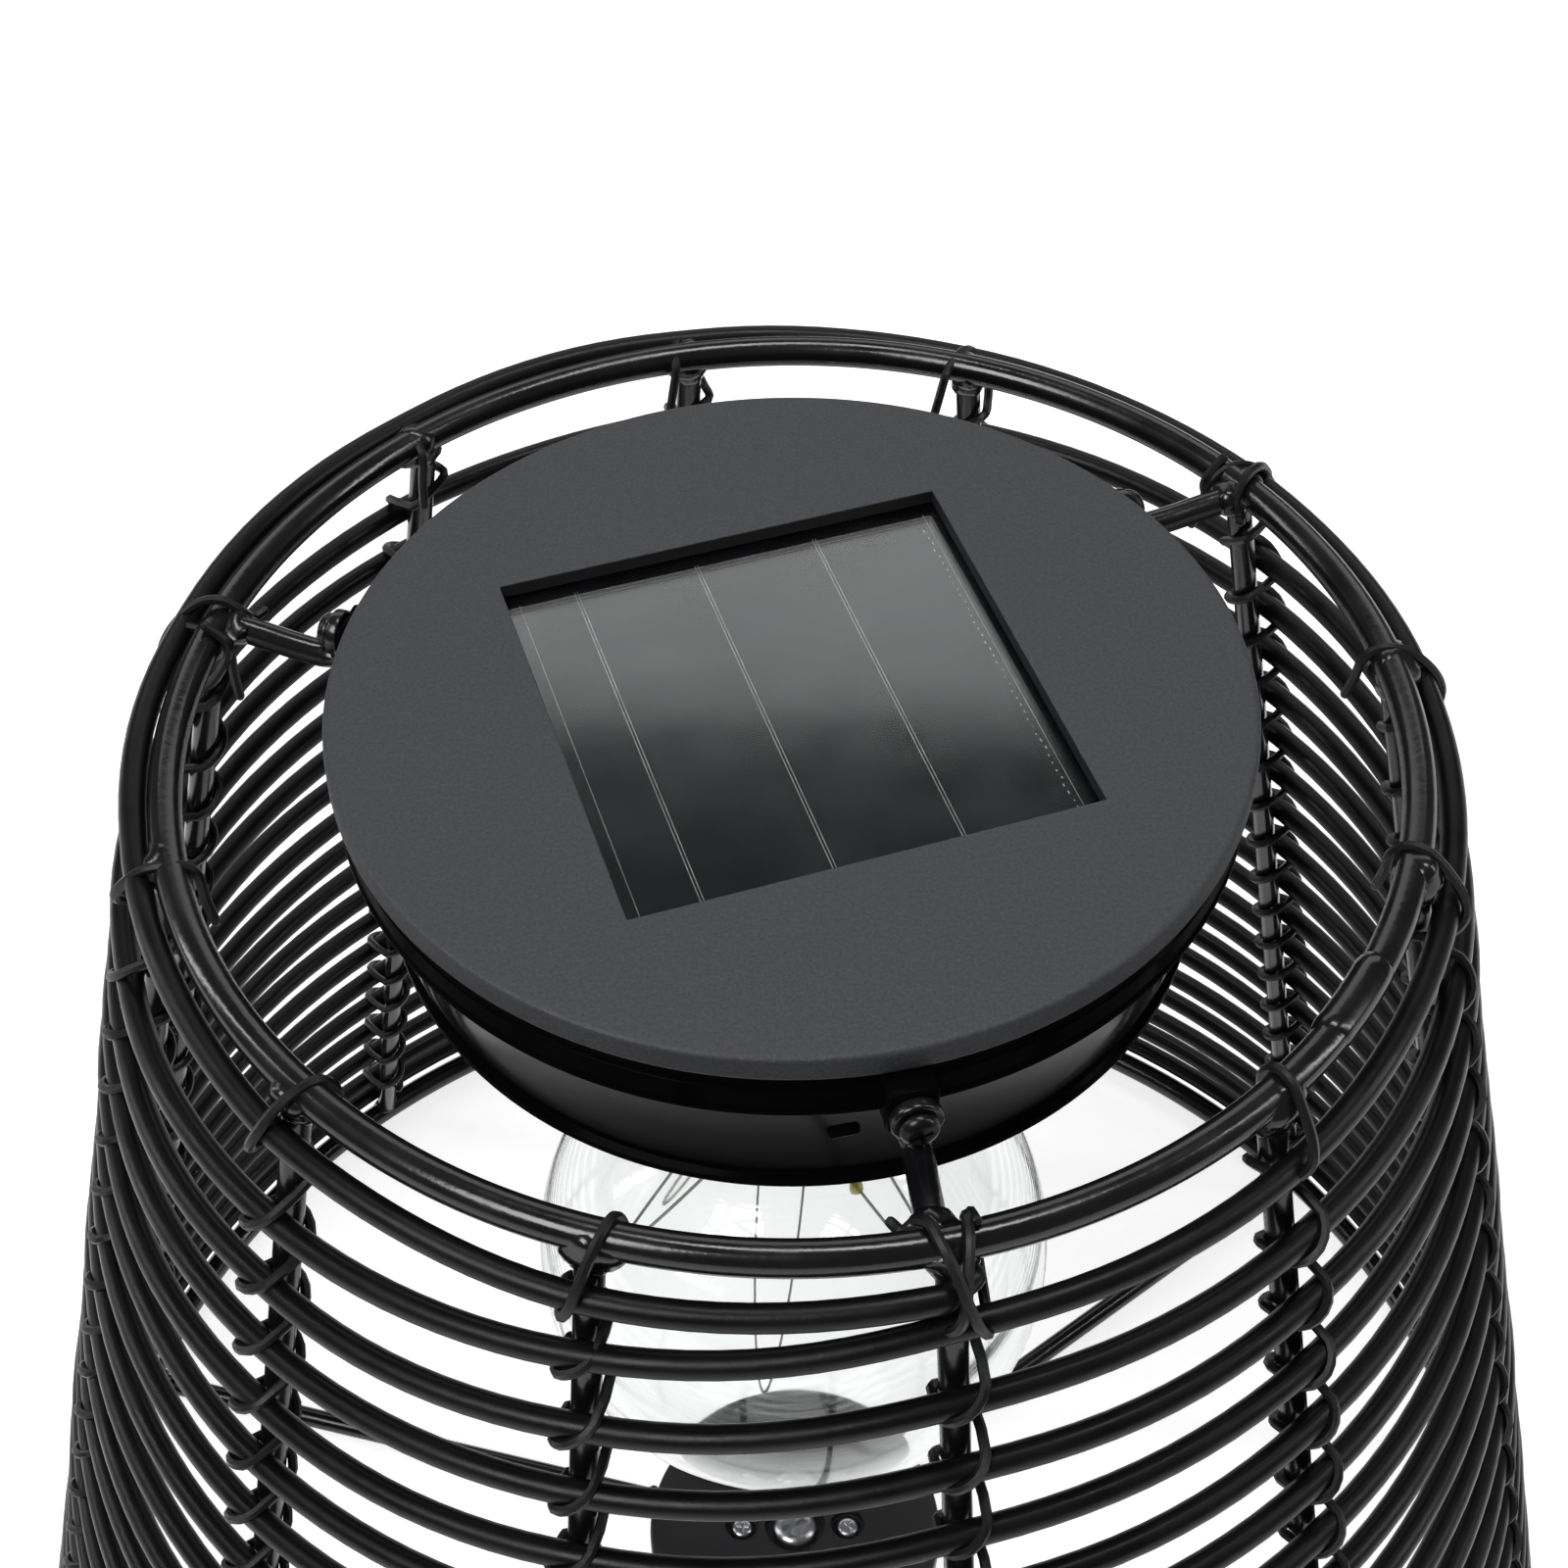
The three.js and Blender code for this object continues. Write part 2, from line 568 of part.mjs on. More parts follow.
function addCap() {
  const cap = new THREE.Group();
  cap.rotation.z = rad(WINDOW_TURN_DEG);
  lantern.add(cap);

  const plateZ = CAP_TOP_Z - CAP_PLATE;
  const coverZ = plateZ - GAP - CELL_COVER_THICKNESS;
  const cellZ = coverZ - GAP - CELL_THICKNESS;
  const retainerZ = cellZ - GAP - RETAINER_THICKNESS;
  const round = 0.9;
  const shell = turned([
    [0, CAP_TOP_Z],
    [CAP_R - round, CAP_TOP_Z],
    [CAP_R - round * 0.3, CAP_TOP_Z - round * 0.3],
    [CAP_R, CAP_TOP_Z - round],
    [CAP_R, CAP_RIM_Z],
    [CAP_SKIRT_R, CAP_RIM_Z],
    [CAP_SKIRT_R, CAP_SKIRT_Z],
    [CAP_SKIRT_R - CAP_SKIRT_WALL, CAP_SKIRT_Z],
    [CAP_SKIRT_R - CAP_SKIRT_WALL, plateZ],
    [0, plateZ],
  ]);
  const around = (geometry, i) =>
    geometry.translate(RETAINER_SCREW_R, 0, 0).rotateZ((i * 2 * Math.PI) / 3);
  const three = [0, 1, 2];
  const bossZ = retainerZ + RETAINER_THICKNESS + GAP;
  const bosses = three.map((i) => around(drum(3.2, bossZ, CAP_TOP_Z - 1 - bossZ, 12), i));
  const pilots = three.map((i) => around(drum(1.5, bossZ - 1, 4, 12), i));
  const window = block(WINDOW_SIDE, WINDOW_SIDE, 10, 0, 0, plateZ - 4);
  add("cap_shell", cut(join(shell, ...bosses), window, ...pilots), capPlastic, cap);
  add("cell_cover", block(CELL_SIDE, CELL_SIDE, CELL_COVER_THICKNESS, 0, 0, coverZ), clearPlastic, cap);
  add("solar_cell", block(CELL_SIDE, CELL_SIDE, CELL_THICKNESS, 0, 0, cellZ), silicon, cap);

  const holes = three.map((i) => around(drum(1.5, retainerZ - 1, 4, 12), i));
  const wireHole = drum(3, retainerZ - 1, 4, 12);
  const retainer = cut(drum(RETAINER_R, retainerZ, RETAINER_THICKNESS, 36), ...holes, wireHole);
  add("cell_retainer", retainer, cupPlastic, cap);
  for (const i of three) {
    const screw = panScrew(2.4, 1.5, 1.2, 4.4, 0).rotateX(Math.PI);
    add(`retainer_screw_${i + 1}`, around(screw.translate(0, 0, retainerZ - GAP / 2), i), zinc, cap);
  }
  const sealR = (CAP_SKIRT_R + CUP_BAND_R - CUP_WALL) / 2;
  const sealRodR = (CUP_BAND_R - CUP_WALL - CAP_SKIRT_R) / 2 - GAP;
  const seal = new THREE.TorusGeometry(sealR, sealRodR, 6, UNIT_SEGMENTS);
  add("cap_seal", seal.translate(0, 0, TOP_RING_Z + 1.5), sealRubber, cap);
}

addFrame();
addWeave();
addHub();
addStruts();
addArms();
addCup();
addElectronics();
addSocket();
addBulb();
addLedString();
addCap();

export default lantern;
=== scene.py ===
"""Looks of the solar garden lantern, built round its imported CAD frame. Metres, +Z up."""

import math

import bmesh
import bpy
import numpy as np
from mathutils import Matrix, Vector, noise


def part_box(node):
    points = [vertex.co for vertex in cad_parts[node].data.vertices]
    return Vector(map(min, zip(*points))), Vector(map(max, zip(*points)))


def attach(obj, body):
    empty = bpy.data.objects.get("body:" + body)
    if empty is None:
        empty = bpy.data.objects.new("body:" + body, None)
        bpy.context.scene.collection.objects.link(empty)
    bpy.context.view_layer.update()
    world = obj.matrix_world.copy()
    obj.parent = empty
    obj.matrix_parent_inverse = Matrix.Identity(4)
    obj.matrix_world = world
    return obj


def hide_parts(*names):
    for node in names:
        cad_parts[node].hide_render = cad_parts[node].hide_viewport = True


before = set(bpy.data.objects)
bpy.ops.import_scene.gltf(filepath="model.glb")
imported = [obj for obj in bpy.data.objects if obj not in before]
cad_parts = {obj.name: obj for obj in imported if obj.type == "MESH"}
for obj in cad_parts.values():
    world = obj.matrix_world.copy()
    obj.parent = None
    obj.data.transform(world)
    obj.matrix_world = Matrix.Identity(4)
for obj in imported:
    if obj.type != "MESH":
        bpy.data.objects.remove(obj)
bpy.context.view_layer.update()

MM = 0.001
TAU = 2 * math.pi
LANTERN, CAP = "lantern", "solar_cap"      # the two bodies that new pieces ride on

# ---------- sizes, from the CAD frame ----------


def ring_of(node):
    """Centreline radius, centreline height and rod radius of one of the frame's rings."""
    low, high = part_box(node)
    rod = (high.z - low.z) / 2
    return (high.x - low.x) / 2 - rod, (high.z + low.z) / 2, rod


TOP_R, TOP_Z, RING_ROD = ring_of("top_ring")
FOOT_R, FOOT_Z, _ = ring_of("bottom_ring")
SLOPE = (FOOT_R - TOP_R) / (TOP_Z - FOOT_Z)
RIB_ROD = 2.15 * MM
RIBS = 12
FIRST_RIB = math.radians(-107.9)
RIB_DRIFT_DEG = (1.5, 0, 0.5, 0, -4, -4.5, -1.5, -1.5, -1, 3, 3.5, 2.5)     # from even spacing
HANGER_RIBS = (1, 5, 9)

STRAND = 2.05 * MM           # radius of the woven strand
STRAND_OUT = 4.57 * MM       # from a rib's centreline out to the strand's
# How far below the top ring the strand lies on its first turn: turns from the first arm, and millimetres.
FIRST_TURN = [
    (-1 / 300, 3.8), (0, 3.6), (0.08, 6.2), (0.17, 4.5), (0.28, 0.5), (0.48, 0), (0.56, 1.5), (0.75, 3.5),
    (0.92, 8.2), (1, 8.4),
]
FIRST_COURSE_REACH = 5.0 * MM    # least distance from the top ring's centreline to the strand's
SECOND_COURSE = 22.0 * MM    # drop of the second course
COURSE_PITCH = 12.6 * MM     # from each later course to the next
STEP_TURNS = 0.25            # each course is level but for a step down over this much of a turn
STRAND_FOOT_Z = 7.2 * MM
FULL_DROP = TOP_Z - STRAND_FOOT_Z
STRAND_START = FIRST_TURN[0][0]
COURSES_PAST_START = 2.6     # turns wound beyond the count of full courses
STRAND_END = COURSES_PAST_START + (FULL_DROP - SECOND_COURSE) / COURSE_PITCH
STRAND_LENGTHS = 10          # CAD nodes that the one strand stands for
STEPS_PER_TURN = 144
SAG, BULGE = 1.0 * MM, 0.7 * MM      # how far the strand wanders between two ribs, up or down and outwards
LOOSE_END_TUCK = 2.5 * MM    # the loose end lies this far behind the next course
BINDING = 0.8 * MM           # radius of the thin binding cord
CORD_SIDES = 7
CORD_STEPS = 16              # points on each turn of the cord round a rib

CAP_R = 69.7 * MM
CAP_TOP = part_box("cap_shell")[1].z
CAP_RIM = TOP_Z + 4.9 * MM
CAP_PLATE = 2.4 * MM
SKIRT_R, SKIRT_WALL = 64 * MM, 1.8 * MM
SKIRT_FOOT = TOP_Z - 2 * MM
CAP_BOSSES, CAP_BOSS_R = 3, 52 * MM      # how many screws hold the retainer, and how far out
WINDOW = 71.4 * MM
WINDOW_TURN = math.radians(18)
CELL_SIDE = 78 * MM
BAND_R, BAND_Z = 68.5 * MM, TOP_Z - 3.5 * MM
CUP_FOOT_R, CUP_FOOT_Z = 62.3 * MM, TOP_Z - 28 * MM
CUP_WALL = 2 * MM
ARM_ROD = 2.2 * MM
SCREW_SEAT = 0.15 * MM       # gap under a screw's head
EYE_Z = TOP_Z + 0.6 * MM
EYE_R = 3.7 * MM
EYE_HOLE_R = 1.8 * MM
EYE_THICKNESS = 2 * MM
PAD_R = 73 * MM              # end of the boss that an eye is screwed to
FIRST_EYE = math.radians(-77.5)
ARM_WELD_TURN = math.radians(-1)      # from a hanger rib to the place where its arm meets the ring

GLOBE_LOW, GLOBE_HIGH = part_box("bulb_globe")
GLOBE_R = 47.5 * MM
GLOBE_Z = GLOBE_LOW.z + GLOBE_R
GLOBE_WALL = 1.2 * MM
NECK_R, NECK_BLEND = 14 * MM, 26 * MM

# The hub's screws: name, place, radii of recess and hole, then head radius, head height and shank radius.
HUB_SCREWS = (
    ("centre", 0, 6.5, 2.7, 4.9, 2.6, 2.4),
    ("left", -11.5, 3.6, 1.6, 2.5, 1.6, 1.3),
    ("right", 11.5, 3.6, 1.6, 2.5, 1.6, 1.3),
)
HUB_RECESS = 2.6 * MM


def rib_angle(i):
    """The angle of a rib, or of a place between two ribs when i isn't whole."""
    drift = np.interp(np.mod(i, RIBS), range(RIBS + 1), [*RIB_DRIFT_DEG, RIB_DRIFT_DEG[0]])
    return FIRST_RIB + i * TAU / RIBS + np.radians(drift)


def eye_angle(i):
    return FIRST_EYE + i * TAU / len(HANGER_RIBS)


def rib_r(z):
    return TOP_R + SLOPE * (TOP_Z - z)


# ---------- mesh helpers: each shape is a pair, its vertices and its faces ----------


def raw_mesh(name, shape):
    vertices, faces = shape
    mesh = bpy.data.meshes.new(name)
    mesh.from_pydata([tuple(v) for v in vertices], [], [tuple(map(int, f)) for f in faces])
    return mesh


def face_outwards(mesh):
    work = bmesh.new()
    work.from_mesh(mesh)
    bmesh.ops.recalc_face_normals(work, faces=work.faces)
    work.to_mesh(mesh)
    work.free()


def add_object(name, data):
    item = bpy.data.objects.new(name, data)
    bpy.context.scene.collection.objects.link(item)
    return item


def mesh_object(name, shape, material, body=LANTERN, sharp_deg=35, stands_for=(), flat=False):
    """A piece made from a shape, smooth but for edges sharper than sharp_deg."""
    mesh = raw_mesh(name, shape)
    mesh.validate()
    mesh.update()
    face_outwards(mesh)
    mesh.shade_smooth()
    mesh.set_sharp_from_angle(angle=math.radians(sharp_deg))
    mesh.materials.append(material)
    piece = add_object(name, mesh)
    if flat:
        # Keeps the shading of a flat face flat right up to its rounded edges.
        piece.modifiers.new("flat_faces", "WEIGHTED_NORMAL").keep_sharp = True
    if stands_for:
        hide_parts(*stands_for)
    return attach(piece, body)


def merged(*shapes):
    vertices, faces, start = [], [], 0
    for more, their_faces in shapes:
        vertices.extend(tuple(v) for v in more)
        faces.extend(tuple(i + start for i in face) for face in their_faces)
        start += len(more)
    return vertices, faces


def placed(shape, matrix):
    vertices, faces = shape
    return [matrix @ Vector(v) for v in vertices], faces


def at_angle(angle):
    return Matrix.Rotation(angle, 4, "Z")


def frames_along(points, closed=False):
    """A tangent and two normals at each point, carried along the path without twist."""
    if closed:
        tangents = np.roll(points, -1, 0) - np.roll(points, 1, 0)
    else:
        tangents = np.gradient(points, axis=0)
    tangents /= np.linalg.norm(tangents, axis=1)[:, None]
    normal = np.array([0.0, 0.0, 1.0])
    if abs(tangents[0] @ normal) > 0.9:
        normal = np.array([1.0, 0.0, 0.0])
    normals = np.zeros_like(points)
    for i, tangent in enumerate(tangents):
        normal = normal - (normal @ tangent) * tangent
        normal /= np.linalg.norm(normal)
        normals[i] = normal
    return tangents, normals, np.cross(tangents, normals)


def faces_between(rows, sides, closed):
    """Four-sided faces that join each row of points, itself a ring, to the next."""
    faces = []
    for i in range(rows if closed else rows - 1):
        a, b = i * sides, ((i + 1) % rows) * sides
        faces += [(a + j, a + (j + 1) % sides, b + (j + 1) % sides, b + j) for j in range(sides)]
    return faces


# Two rows of a bar's domed end: how far ahead of its last point, and how wide, as shares of its radius.
DOME = ((0.5, 0.87), (0.87, 0.5))


def tube(points, radius, sides=10, closed=False):
    """A round bar along a path, with domed ends. radius is one number, one for each point, or a pair for
    each point: along the first and the second normal."""
    points = np.asarray(points, float)
    radii = np.asarray(radius, float)
    if radii.ndim < 2:
        radii = np.repeat(np.broadcast_to(radii, len(points))[:, None], 2, axis=1)
    tangents, first, second = frames_along(points, closed)
    if not closed:
        rows = [(points[i], radii[i], i) for i in range(len(points))]
        for end, way, at in ((0, -1, 0), (len(points) - 1, 1, None)):
            reach = radii[end].min()
            for ahead, share in DOME:
                dome = (points[end] + way * ahead * reach * tangents[end], radii[end] * share, end)
                rows.insert(0 if at == 0 else len(rows), dome)
        points = np.array([row[0] for row in rows])
        radii = np.array([row[1] for row in rows])
        kept = [row[2] for row in rows]
        first, second = first[kept], second[kept]
    turn = np.arange(sides) * TAU / sides
    across = first[:, None] * np.cos(turn)[None, :, None] * radii[:, 0, None, None]
    up = second[:, None] * np.sin(turn)[None, :, None] * radii[:, 1, None, None]
    vertices = (points[:, None] + across + up).reshape(-1, 3)
    count = len(points)
    faces = faces_between(count, sides, closed)
    if not closed:
        faces.append(tuple(reversed(range(sides))))
        faces.append(tuple(range((count - 1) * sides, count * sides)))
    return vertices, faces


MOST_SOFTENED = 0.45      # of a side's length, at each of its ends
ON_AXIS = 1e-9


def softened(outline, reach, steps=4, closed=False):
    """The outline with each corner made a small curve that starts this far before it, if there is room."""
    corners = [np.array(p, float) for p in outline]
    made = []
    for i, corner in enumerate(corners):
        if not closed and i in (0, len(corners) - 1):
            made.append(corner)
            continue
        before = corners[i - 1] - corner
        after = corners[(i + 1) % len(corners)] - corner
        start = corner + before * min(MOST_SOFTENED, reach / np.linalg.norm(before))
        end = corner + after * min(MOST_SOFTENED, reach / np.linalg.norm(after))
        for t in np.linspace(0, 1, steps):
            made.append((1 - t) ** 2 * start + 2 * t * (1 - t) * corner + t * t * end)
    return made


def turned(outline, segments=192):
    """An outline of (radius, height) points turned round Z. It closes on the axis or on itself."""
    vertices, faces, rows = [], [], []
    turn = np.arange(segments) * TAU / segments
    for r, z in outline:
        start = len(vertices)
        if r < ON_AXIS:
            vertices.append((0, 0, z))
            rows.append([start] * segments)
        else:
            vertices.extend(zip(r * np.cos(turn), r * np.sin(turn), [z] * segments))
            rows.append(list(range(start, start + segments)))
    pairs = list(zip(rows, rows[1:]))
    if outline[0][0] > ON_AXIS:
        pairs.append((rows[-1], rows[0]))
    for low, high in pairs:
        for j in range(segments):
            k = (j + 1) % segments
            corners = dict.fromkeys((low[j], low[k], high[k], high[j]))
            if len(corners) > 2:
                faces.append(tuple(corners))
    return vertices, faces


def shape_of(work):
    """The shape that a bmesh holds. The bmesh is freed."""
    work.verts.index_update()
    shape = [v.co.copy() for v in work.verts], [tuple(v.index for v in f.verts) for f in work.faces]
    work.free()
    return shape


def block(size, centre, bevel=0.3 * MM, segments=2):
    """A box with rounded edges."""
    work = bmesh.new()
    bmesh.ops.create_cube(work, size=1, matrix=Matrix.Diagonal((*size, 1)))
    if bevel:
        bmesh.ops.bevel(
            work, geom=work.edges[:], offset=bevel, segments=segments, affect="EDGES", profile=0.5)
    bmesh.ops.translate(work, verts=work.verts, vec=centre)
    return shape_of(work)


def lump(centre, radii, roughness=0.18, seed=0, detail=3):
    """A rounded blob with an uneven surface, such as a bead of weld or a drop of glue."""
    work = bmesh.new()
    bmesh.ops.create_icosphere(work, subdivisions=detail, radius=1)
    for v in work.verts:
        swell = 1 + roughness * noise.noise(v.co * 1.4 + Vector((seed * 7.3, seed * 3.1, 0)))
        v.co = Vector(v.co[i] * radii[i] * swell + centre[i] for i in range(3))
    return shape_of(work)


def carved(shape, *tools, operation="DIFFERENCE"):
    """The shape with each tool cut out of it, or joined to it."""
    def loose(name, made):
        mesh = raw_mesh(name, made)
        face_outwards(mesh)
        return add_object(name, mesh)

    blank = loose("blank", shape)
    cutters = [loose("cutter", tool) for tool in tools]
    for cutter in cutters:
        modifier = blank.modifiers.new("cut", "BOOLEAN")
        modifier.operation = operation
        modifier.solver = "EXACT"
        modifier.object = cutter
    mesh = blank.evaluated_get(bpy.context.evaluated_depsgraph_get()).to_mesh()
    made = [v.co.copy() for v in mesh.vertices], [tuple(p.vertices) for p in mesh.polygons]
    for item in (blank, *cutters):
        bpy.data.objects.remove(item)
    return made


# ---------- materials ----------


def linear(*rgb):
    """A colour given as it looks on a screen, 0 to 255, as the renderer's own numbers."""
    return tuple(((c / 255 + 0.055) / 1.055) ** 2.4 if c > 10 else c / 255 / 12.92 for c in rgb)


# The mix node's sockets when it mixes colours.
MIX_FACTOR, MIX_A, MIX_B, MIX_RESULT = 0, 6, 7, 2
NOISE_LOW, NOISE_HIGH = 0.3, 0.7      # nearly all of a noise texture's values lie between these
COLOUR_DETAIL, RELIEF_DETAIL = 3.0, 2.0


def surface(name, colour, roughness, bumps=(), fade=0.12, fade_size=18 * MM, smudge=0.06,
            smudge_size=9 * MM, **fixed):
    """A finish with real texture. bumps are (size, height) of each layer of relief, fade is how far the
    colour wanders over fade_size, and smudge how far the roughness does over smudge_size. fixed are the
    shader's own uniform values."""
    material = bpy.data.materials.new(name)
    material.use_nodes = True
    nodes, links = material.node_tree.nodes, material.node_tree.links
    shader = nodes["Principled BSDF"]
    for socket, value in fixed.items():
        shader.inputs[socket.replace("_", " ").title().replace("Ior", "IOR")].default_value = value
    place = nodes.new("ShaderNodeTexCoord")

    def cloud(size, detail=COLOUR_DETAIL):
        texture = nodes.new("ShaderNodeTexNoise")
        texture.inputs["Scale"].default_value = 1 / size
        texture.inputs["Detail"].default_value = detail
        links.new(place.outputs["Object"], texture.inputs["Vector"])
        return texture.outputs["Fac"]

    def spread(source, low, high):
        node = nodes.new("ShaderNodeMapRange")
        node.inputs["From Min"].default_value = NOISE_LOW
        node.inputs["From Max"].default_value = NOISE_HIGH
        node.inputs["To Min"].default_value = low
        node.inputs["To Max"].default_value = high
        links.new(source, node.inputs["Value"])
        return node.outputs["Result"]

    mix = nodes.new("ShaderNodeMix")
    mix.data_type = "RGBA"
    mix.inputs[MIX_A].default_value = (*(c * (1 - fade) for c in colour), 1)
    mix.inputs[MIX_B].default_value = (*(min(1, c * (1 + fade)) for c in colour), 1)
    links.new(spread(cloud(fade_size), 0, 1), mix.inputs[MIX_FACTOR])
    links.new(mix.outputs[MIX_RESULT], shader.inputs["Base Color"])
    rough = spread(cloud(smudge_size), max(0.0, roughness - smudge), roughness + smudge)
    links.new(rough, shader.inputs["Roughness"])
    normal = None
    for size, height in bumps:
        bump = nodes.new("ShaderNodeBump")
        bump.inputs["Distance"].default_value = height
        links.new(cloud(size, RELIEF_DETAIL), bump.inputs["Height"])
        if normal:
            links.new(normal, bump.inputs["Normal"])
        normal = bump.outputs["Normal"]
    if normal:
        links.new(normal, shader.inputs["Normal"])
    return material


POWDER_COAT = surface(
    "powder coat", linear(16, 16, 18), 0.2, [(1.4 * MM, 0.03 * MM), (0.45 * MM, 0.006 * MM)], fade=0.2)
STRAND_PLASTIC = surface(
    "strand plastic", linear(10, 10, 11), 0.36, [(3 * MM, 0.06 * MM), (0.4 * MM, 0.015 * MM)], fade=0.25,
    specular_ior_level=0.2)
BINDING_PLASTIC = surface(
    "binding plastic", linear(11, 11, 12), 0.45, [(0.9 * MM, 0.06 * MM), (0.25 * MM, 0.015 * MM)], fade=0.2,
    specular_ior_level=0.3)
CAP_PLASTIC = surface(
    "cap plastic", linear(46, 47, 51), 0.56, [(0.6 * MM, 0.1 * MM), (0.25 * MM, 0.05 * MM)],
    fade=0.32, fade_size=0.5 * MM, smudge=0.06, smudge_size=0.8 * MM)
CUP_PLASTIC = surface(
    "cup plastic", linear(6, 6, 7), 0.16, [(14 * MM, 0.1 * MM)], smudge=0.05, specular_ior_level=0.006)
# Dark grey plastic inside the unit. On the cap window's inner walls it is painted shade, darker than the
# cap's own plastic.
INNER_PLASTIC_AND_PAINTED_SHADE = surface(
    "inner plastic and painted shade", linear(26, 26, 28), 0.4, [(0.5 * MM, 0.02 * MM)])
CELL_SILICON = surface(
    "silicon", linear(16, 18, 22), 0.14, fade=0.3, fade_size=22 * MM, smudge=0.02, specular_ior_level=0.4)
SILVER_LINE = surface(
    "silver line", linear(205, 203, 198), 0.5, [(0.6 * MM, 0.02 * MM)],
    metallic=0.9, fade=0.3, fade_size=1.5 * MM)
ZINC = surface(
    "zinc plate", linear(205, 206, 208), 0.3, [(0.8 * MM, 0.02 * MM)],
    metallic=1.0, fade=0.12, fade_size=2 * MM)
BLACK_SCREW = surface(
    "black screw", linear(20, 20, 22), 0.3, [(0.5 * MM, 0.015 * MM)],
    metallic=0.4, fade=0.2, fade_size=2 * MM)
BOARD_GREEN = surface(
    "board mask", linear(24, 84, 54), 0.35, [(1.2 * MM, 0.02 * MM)], fade=0.2, fade_size=3 * MM)
COPPER_PAD = surface("tinned pad", linear(196, 190, 176), 0.35, [(0.5 * MM, 0.03 * MM)], metallic=0.9)
# The frame's black powder coat made a lighter grey for the hub: painted light for the light falling on the
# hub's top.
HUB_COAT_PAINTED_LIGHT = surface(
    "hub coat with painted light", linear(36, 36, 39), 0.42, [(1.4 * MM, 0.03 * MM)], fade=0.15)
CHIP_BLACK = surface("chip black", linear(28, 28, 30), 0.5, [(0.3 * MM, 0.01 * MM)])
BATTERY_WRAP = surface(
    "battery wrap", linear(44, 108, 170), 0.3, [(6 * MM, 0.05 * MM)], fade=0.08)
CONTACT_METAL = surface(
    "contact metal", linear(200, 203, 206), 0.25, [(0.8 * MM, 0.02 * MM)], metallic=1.0)
LED_WIRE_SILVER = surface(
    "led wire", linear(176, 174, 166), 0.35, [(0.5 * MM, 0.03 * MM)],
    metallic=0.8, fade=0.2, fade_size=3 * MM)
SEAL_RUBBER = surface("seal rubber", linear(30, 30, 31), 0.8, [(0.4 * MM, 0.03 * MM)])
CLEAR_GLOBE = surface(
    "clear globe", (0.97, 0.985, 0.98), 0.03, [(40 * MM, 0.15 * MM)], fade=0.02, smudge=0.02,
    transmission_weight=1.0, ior=1.47)
CLEAR_COVER = surface(
    "clear cover", (0.96, 0.98, 0.985), 0.08, fade=0.02, smudge=0.02,
    transmission_weight=1.0, ior=1.47)
LED_DROP = surface(
    "led drop", linear(226, 214, 120), 0.12, [(1.2 * MM, 0.05 * MM)], fade=0.25, fade_size=1.5 * MM,
    transmission_weight=0.55, ior=1.45)


# ---------- wire frame ----------


def circle(radius, z, steps=288):
    turn = np.arange(steps) * TAU / steps
    return np.stack([radius * np.cos(turn), radius * np.sin(turn), np.full(steps, z)], axis=1)


def weld(radius, angle, z, size, seed):
    """A bead of weld on a ring, longer round the ring than across it."""
    bead = lump((0, 0, 0), (size, size * 1.35, size * 1.05), 0.28, seed)
    return placed(bead, at_angle(angle) @ Matrix.Translation((radius, 0, z)))


def make_rings():
    joint_angle = rib_angle(2) + math.radians(9)      # where the ring's rod is closed on itself
    sleeve_r = TOP_R - 0.25 * MM
    sleeve = [
        (sleeve_r * math.cos(a), sleeve_r * math.sin(a), TOP_Z)
        for a in np.linspace(joint_angle, joint_angle + math.radians(8), 12)
    ]
    beads = []
    for i in range(RIBS):
        size = (3.3 + 0.8 * noise.noise(Vector((i * 1.7, 0.3, 0)))) * MM
        spot = rib_angle(i) + 0.03 * noise.noise(Vector((i * 2.3, 5.1, 0)))
        beads.append(weld(TOP_R + 0.7 * MM, spot, TOP_Z - 1.2 * MM, size, i))
    ring = tube(circle(TOP_R, TOP_Z), RING_ROD, 20, closed=True)
    step = tube(sleeve, RING_ROD + 0.35 * MM, 20)
    mesh_object("ring_top", merged(ring, step, *beads), POWDER_COAT,
                stands_for=["top_ring"])
    beads = [weld(FOOT_R, rib_angle(i), FOOT_Z + 1.4 * MM, 2.3 * MM, i + 20) for i in range(RIBS)]
    ring = tube(circle(FOOT_R, FOOT_Z), RING_ROD, 16, closed=True)
    mesh_object("ring_foot", merged(ring, *beads), POWDER_COAT,
                stands_for=["bottom_ring"])


def make_ribs():
    top, foot = TOP_Z - 3.5 * MM, FOOT_Z + 3.5 * MM
    for i in range(RIBS):
        low = Vector((rib_r(foot), 0, foot))
        high = Vector((rib_r(top), 0, top))
        path = [tuple(low.lerp(high, t)) for t in np.linspace(0, 1, 9)]
        collar = lump(high, (2.7 * MM, 2.9 * MM, 2.6 * MM), 0.25, i + 40)
        rod = merged(tube(path, RIB_ROD, 14), collar)
        mesh_object(f"rib_rod_{i + 1}", placed(rod, at_angle(rib_angle(i))), POWDER_COAT,
                    stands_for=[f"rib_{i + 1}"])


def make_struts():
    hub_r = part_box("hub_plate")[1].x
    for i, rib in enumerate(HANGER_RIBS):
        path = [(x, 0, FOOT_Z) for x in np.linspace(hub_r + 0.3 * MM, FOOT_R - RING_ROD - 0.4 * MM, 9)]
        beads = [
            lump((hub_r + 1.2 * MM, 0, FOOT_Z), (1.5 * MM, 3.2 * MM, 2.0 * MM), 0.25, i + 60),
            lump((FOOT_R - RING_ROD - 0.6 * MM, 0, FOOT_Z), (1.3 * MM, 3.4 * MM, 2.0 * MM), 0.25, i + 70),
        ]
        strut = placed(merged(tube(path, RIB_ROD, 14), *beads), at_angle(rib_angle(rib)))
        mesh_object(f"strut_{i + 1}", strut, POWDER_COAT,
                    stands_for=[f"base_strut_{i + 1}"])


# ---------- woven strand and its binding ----------


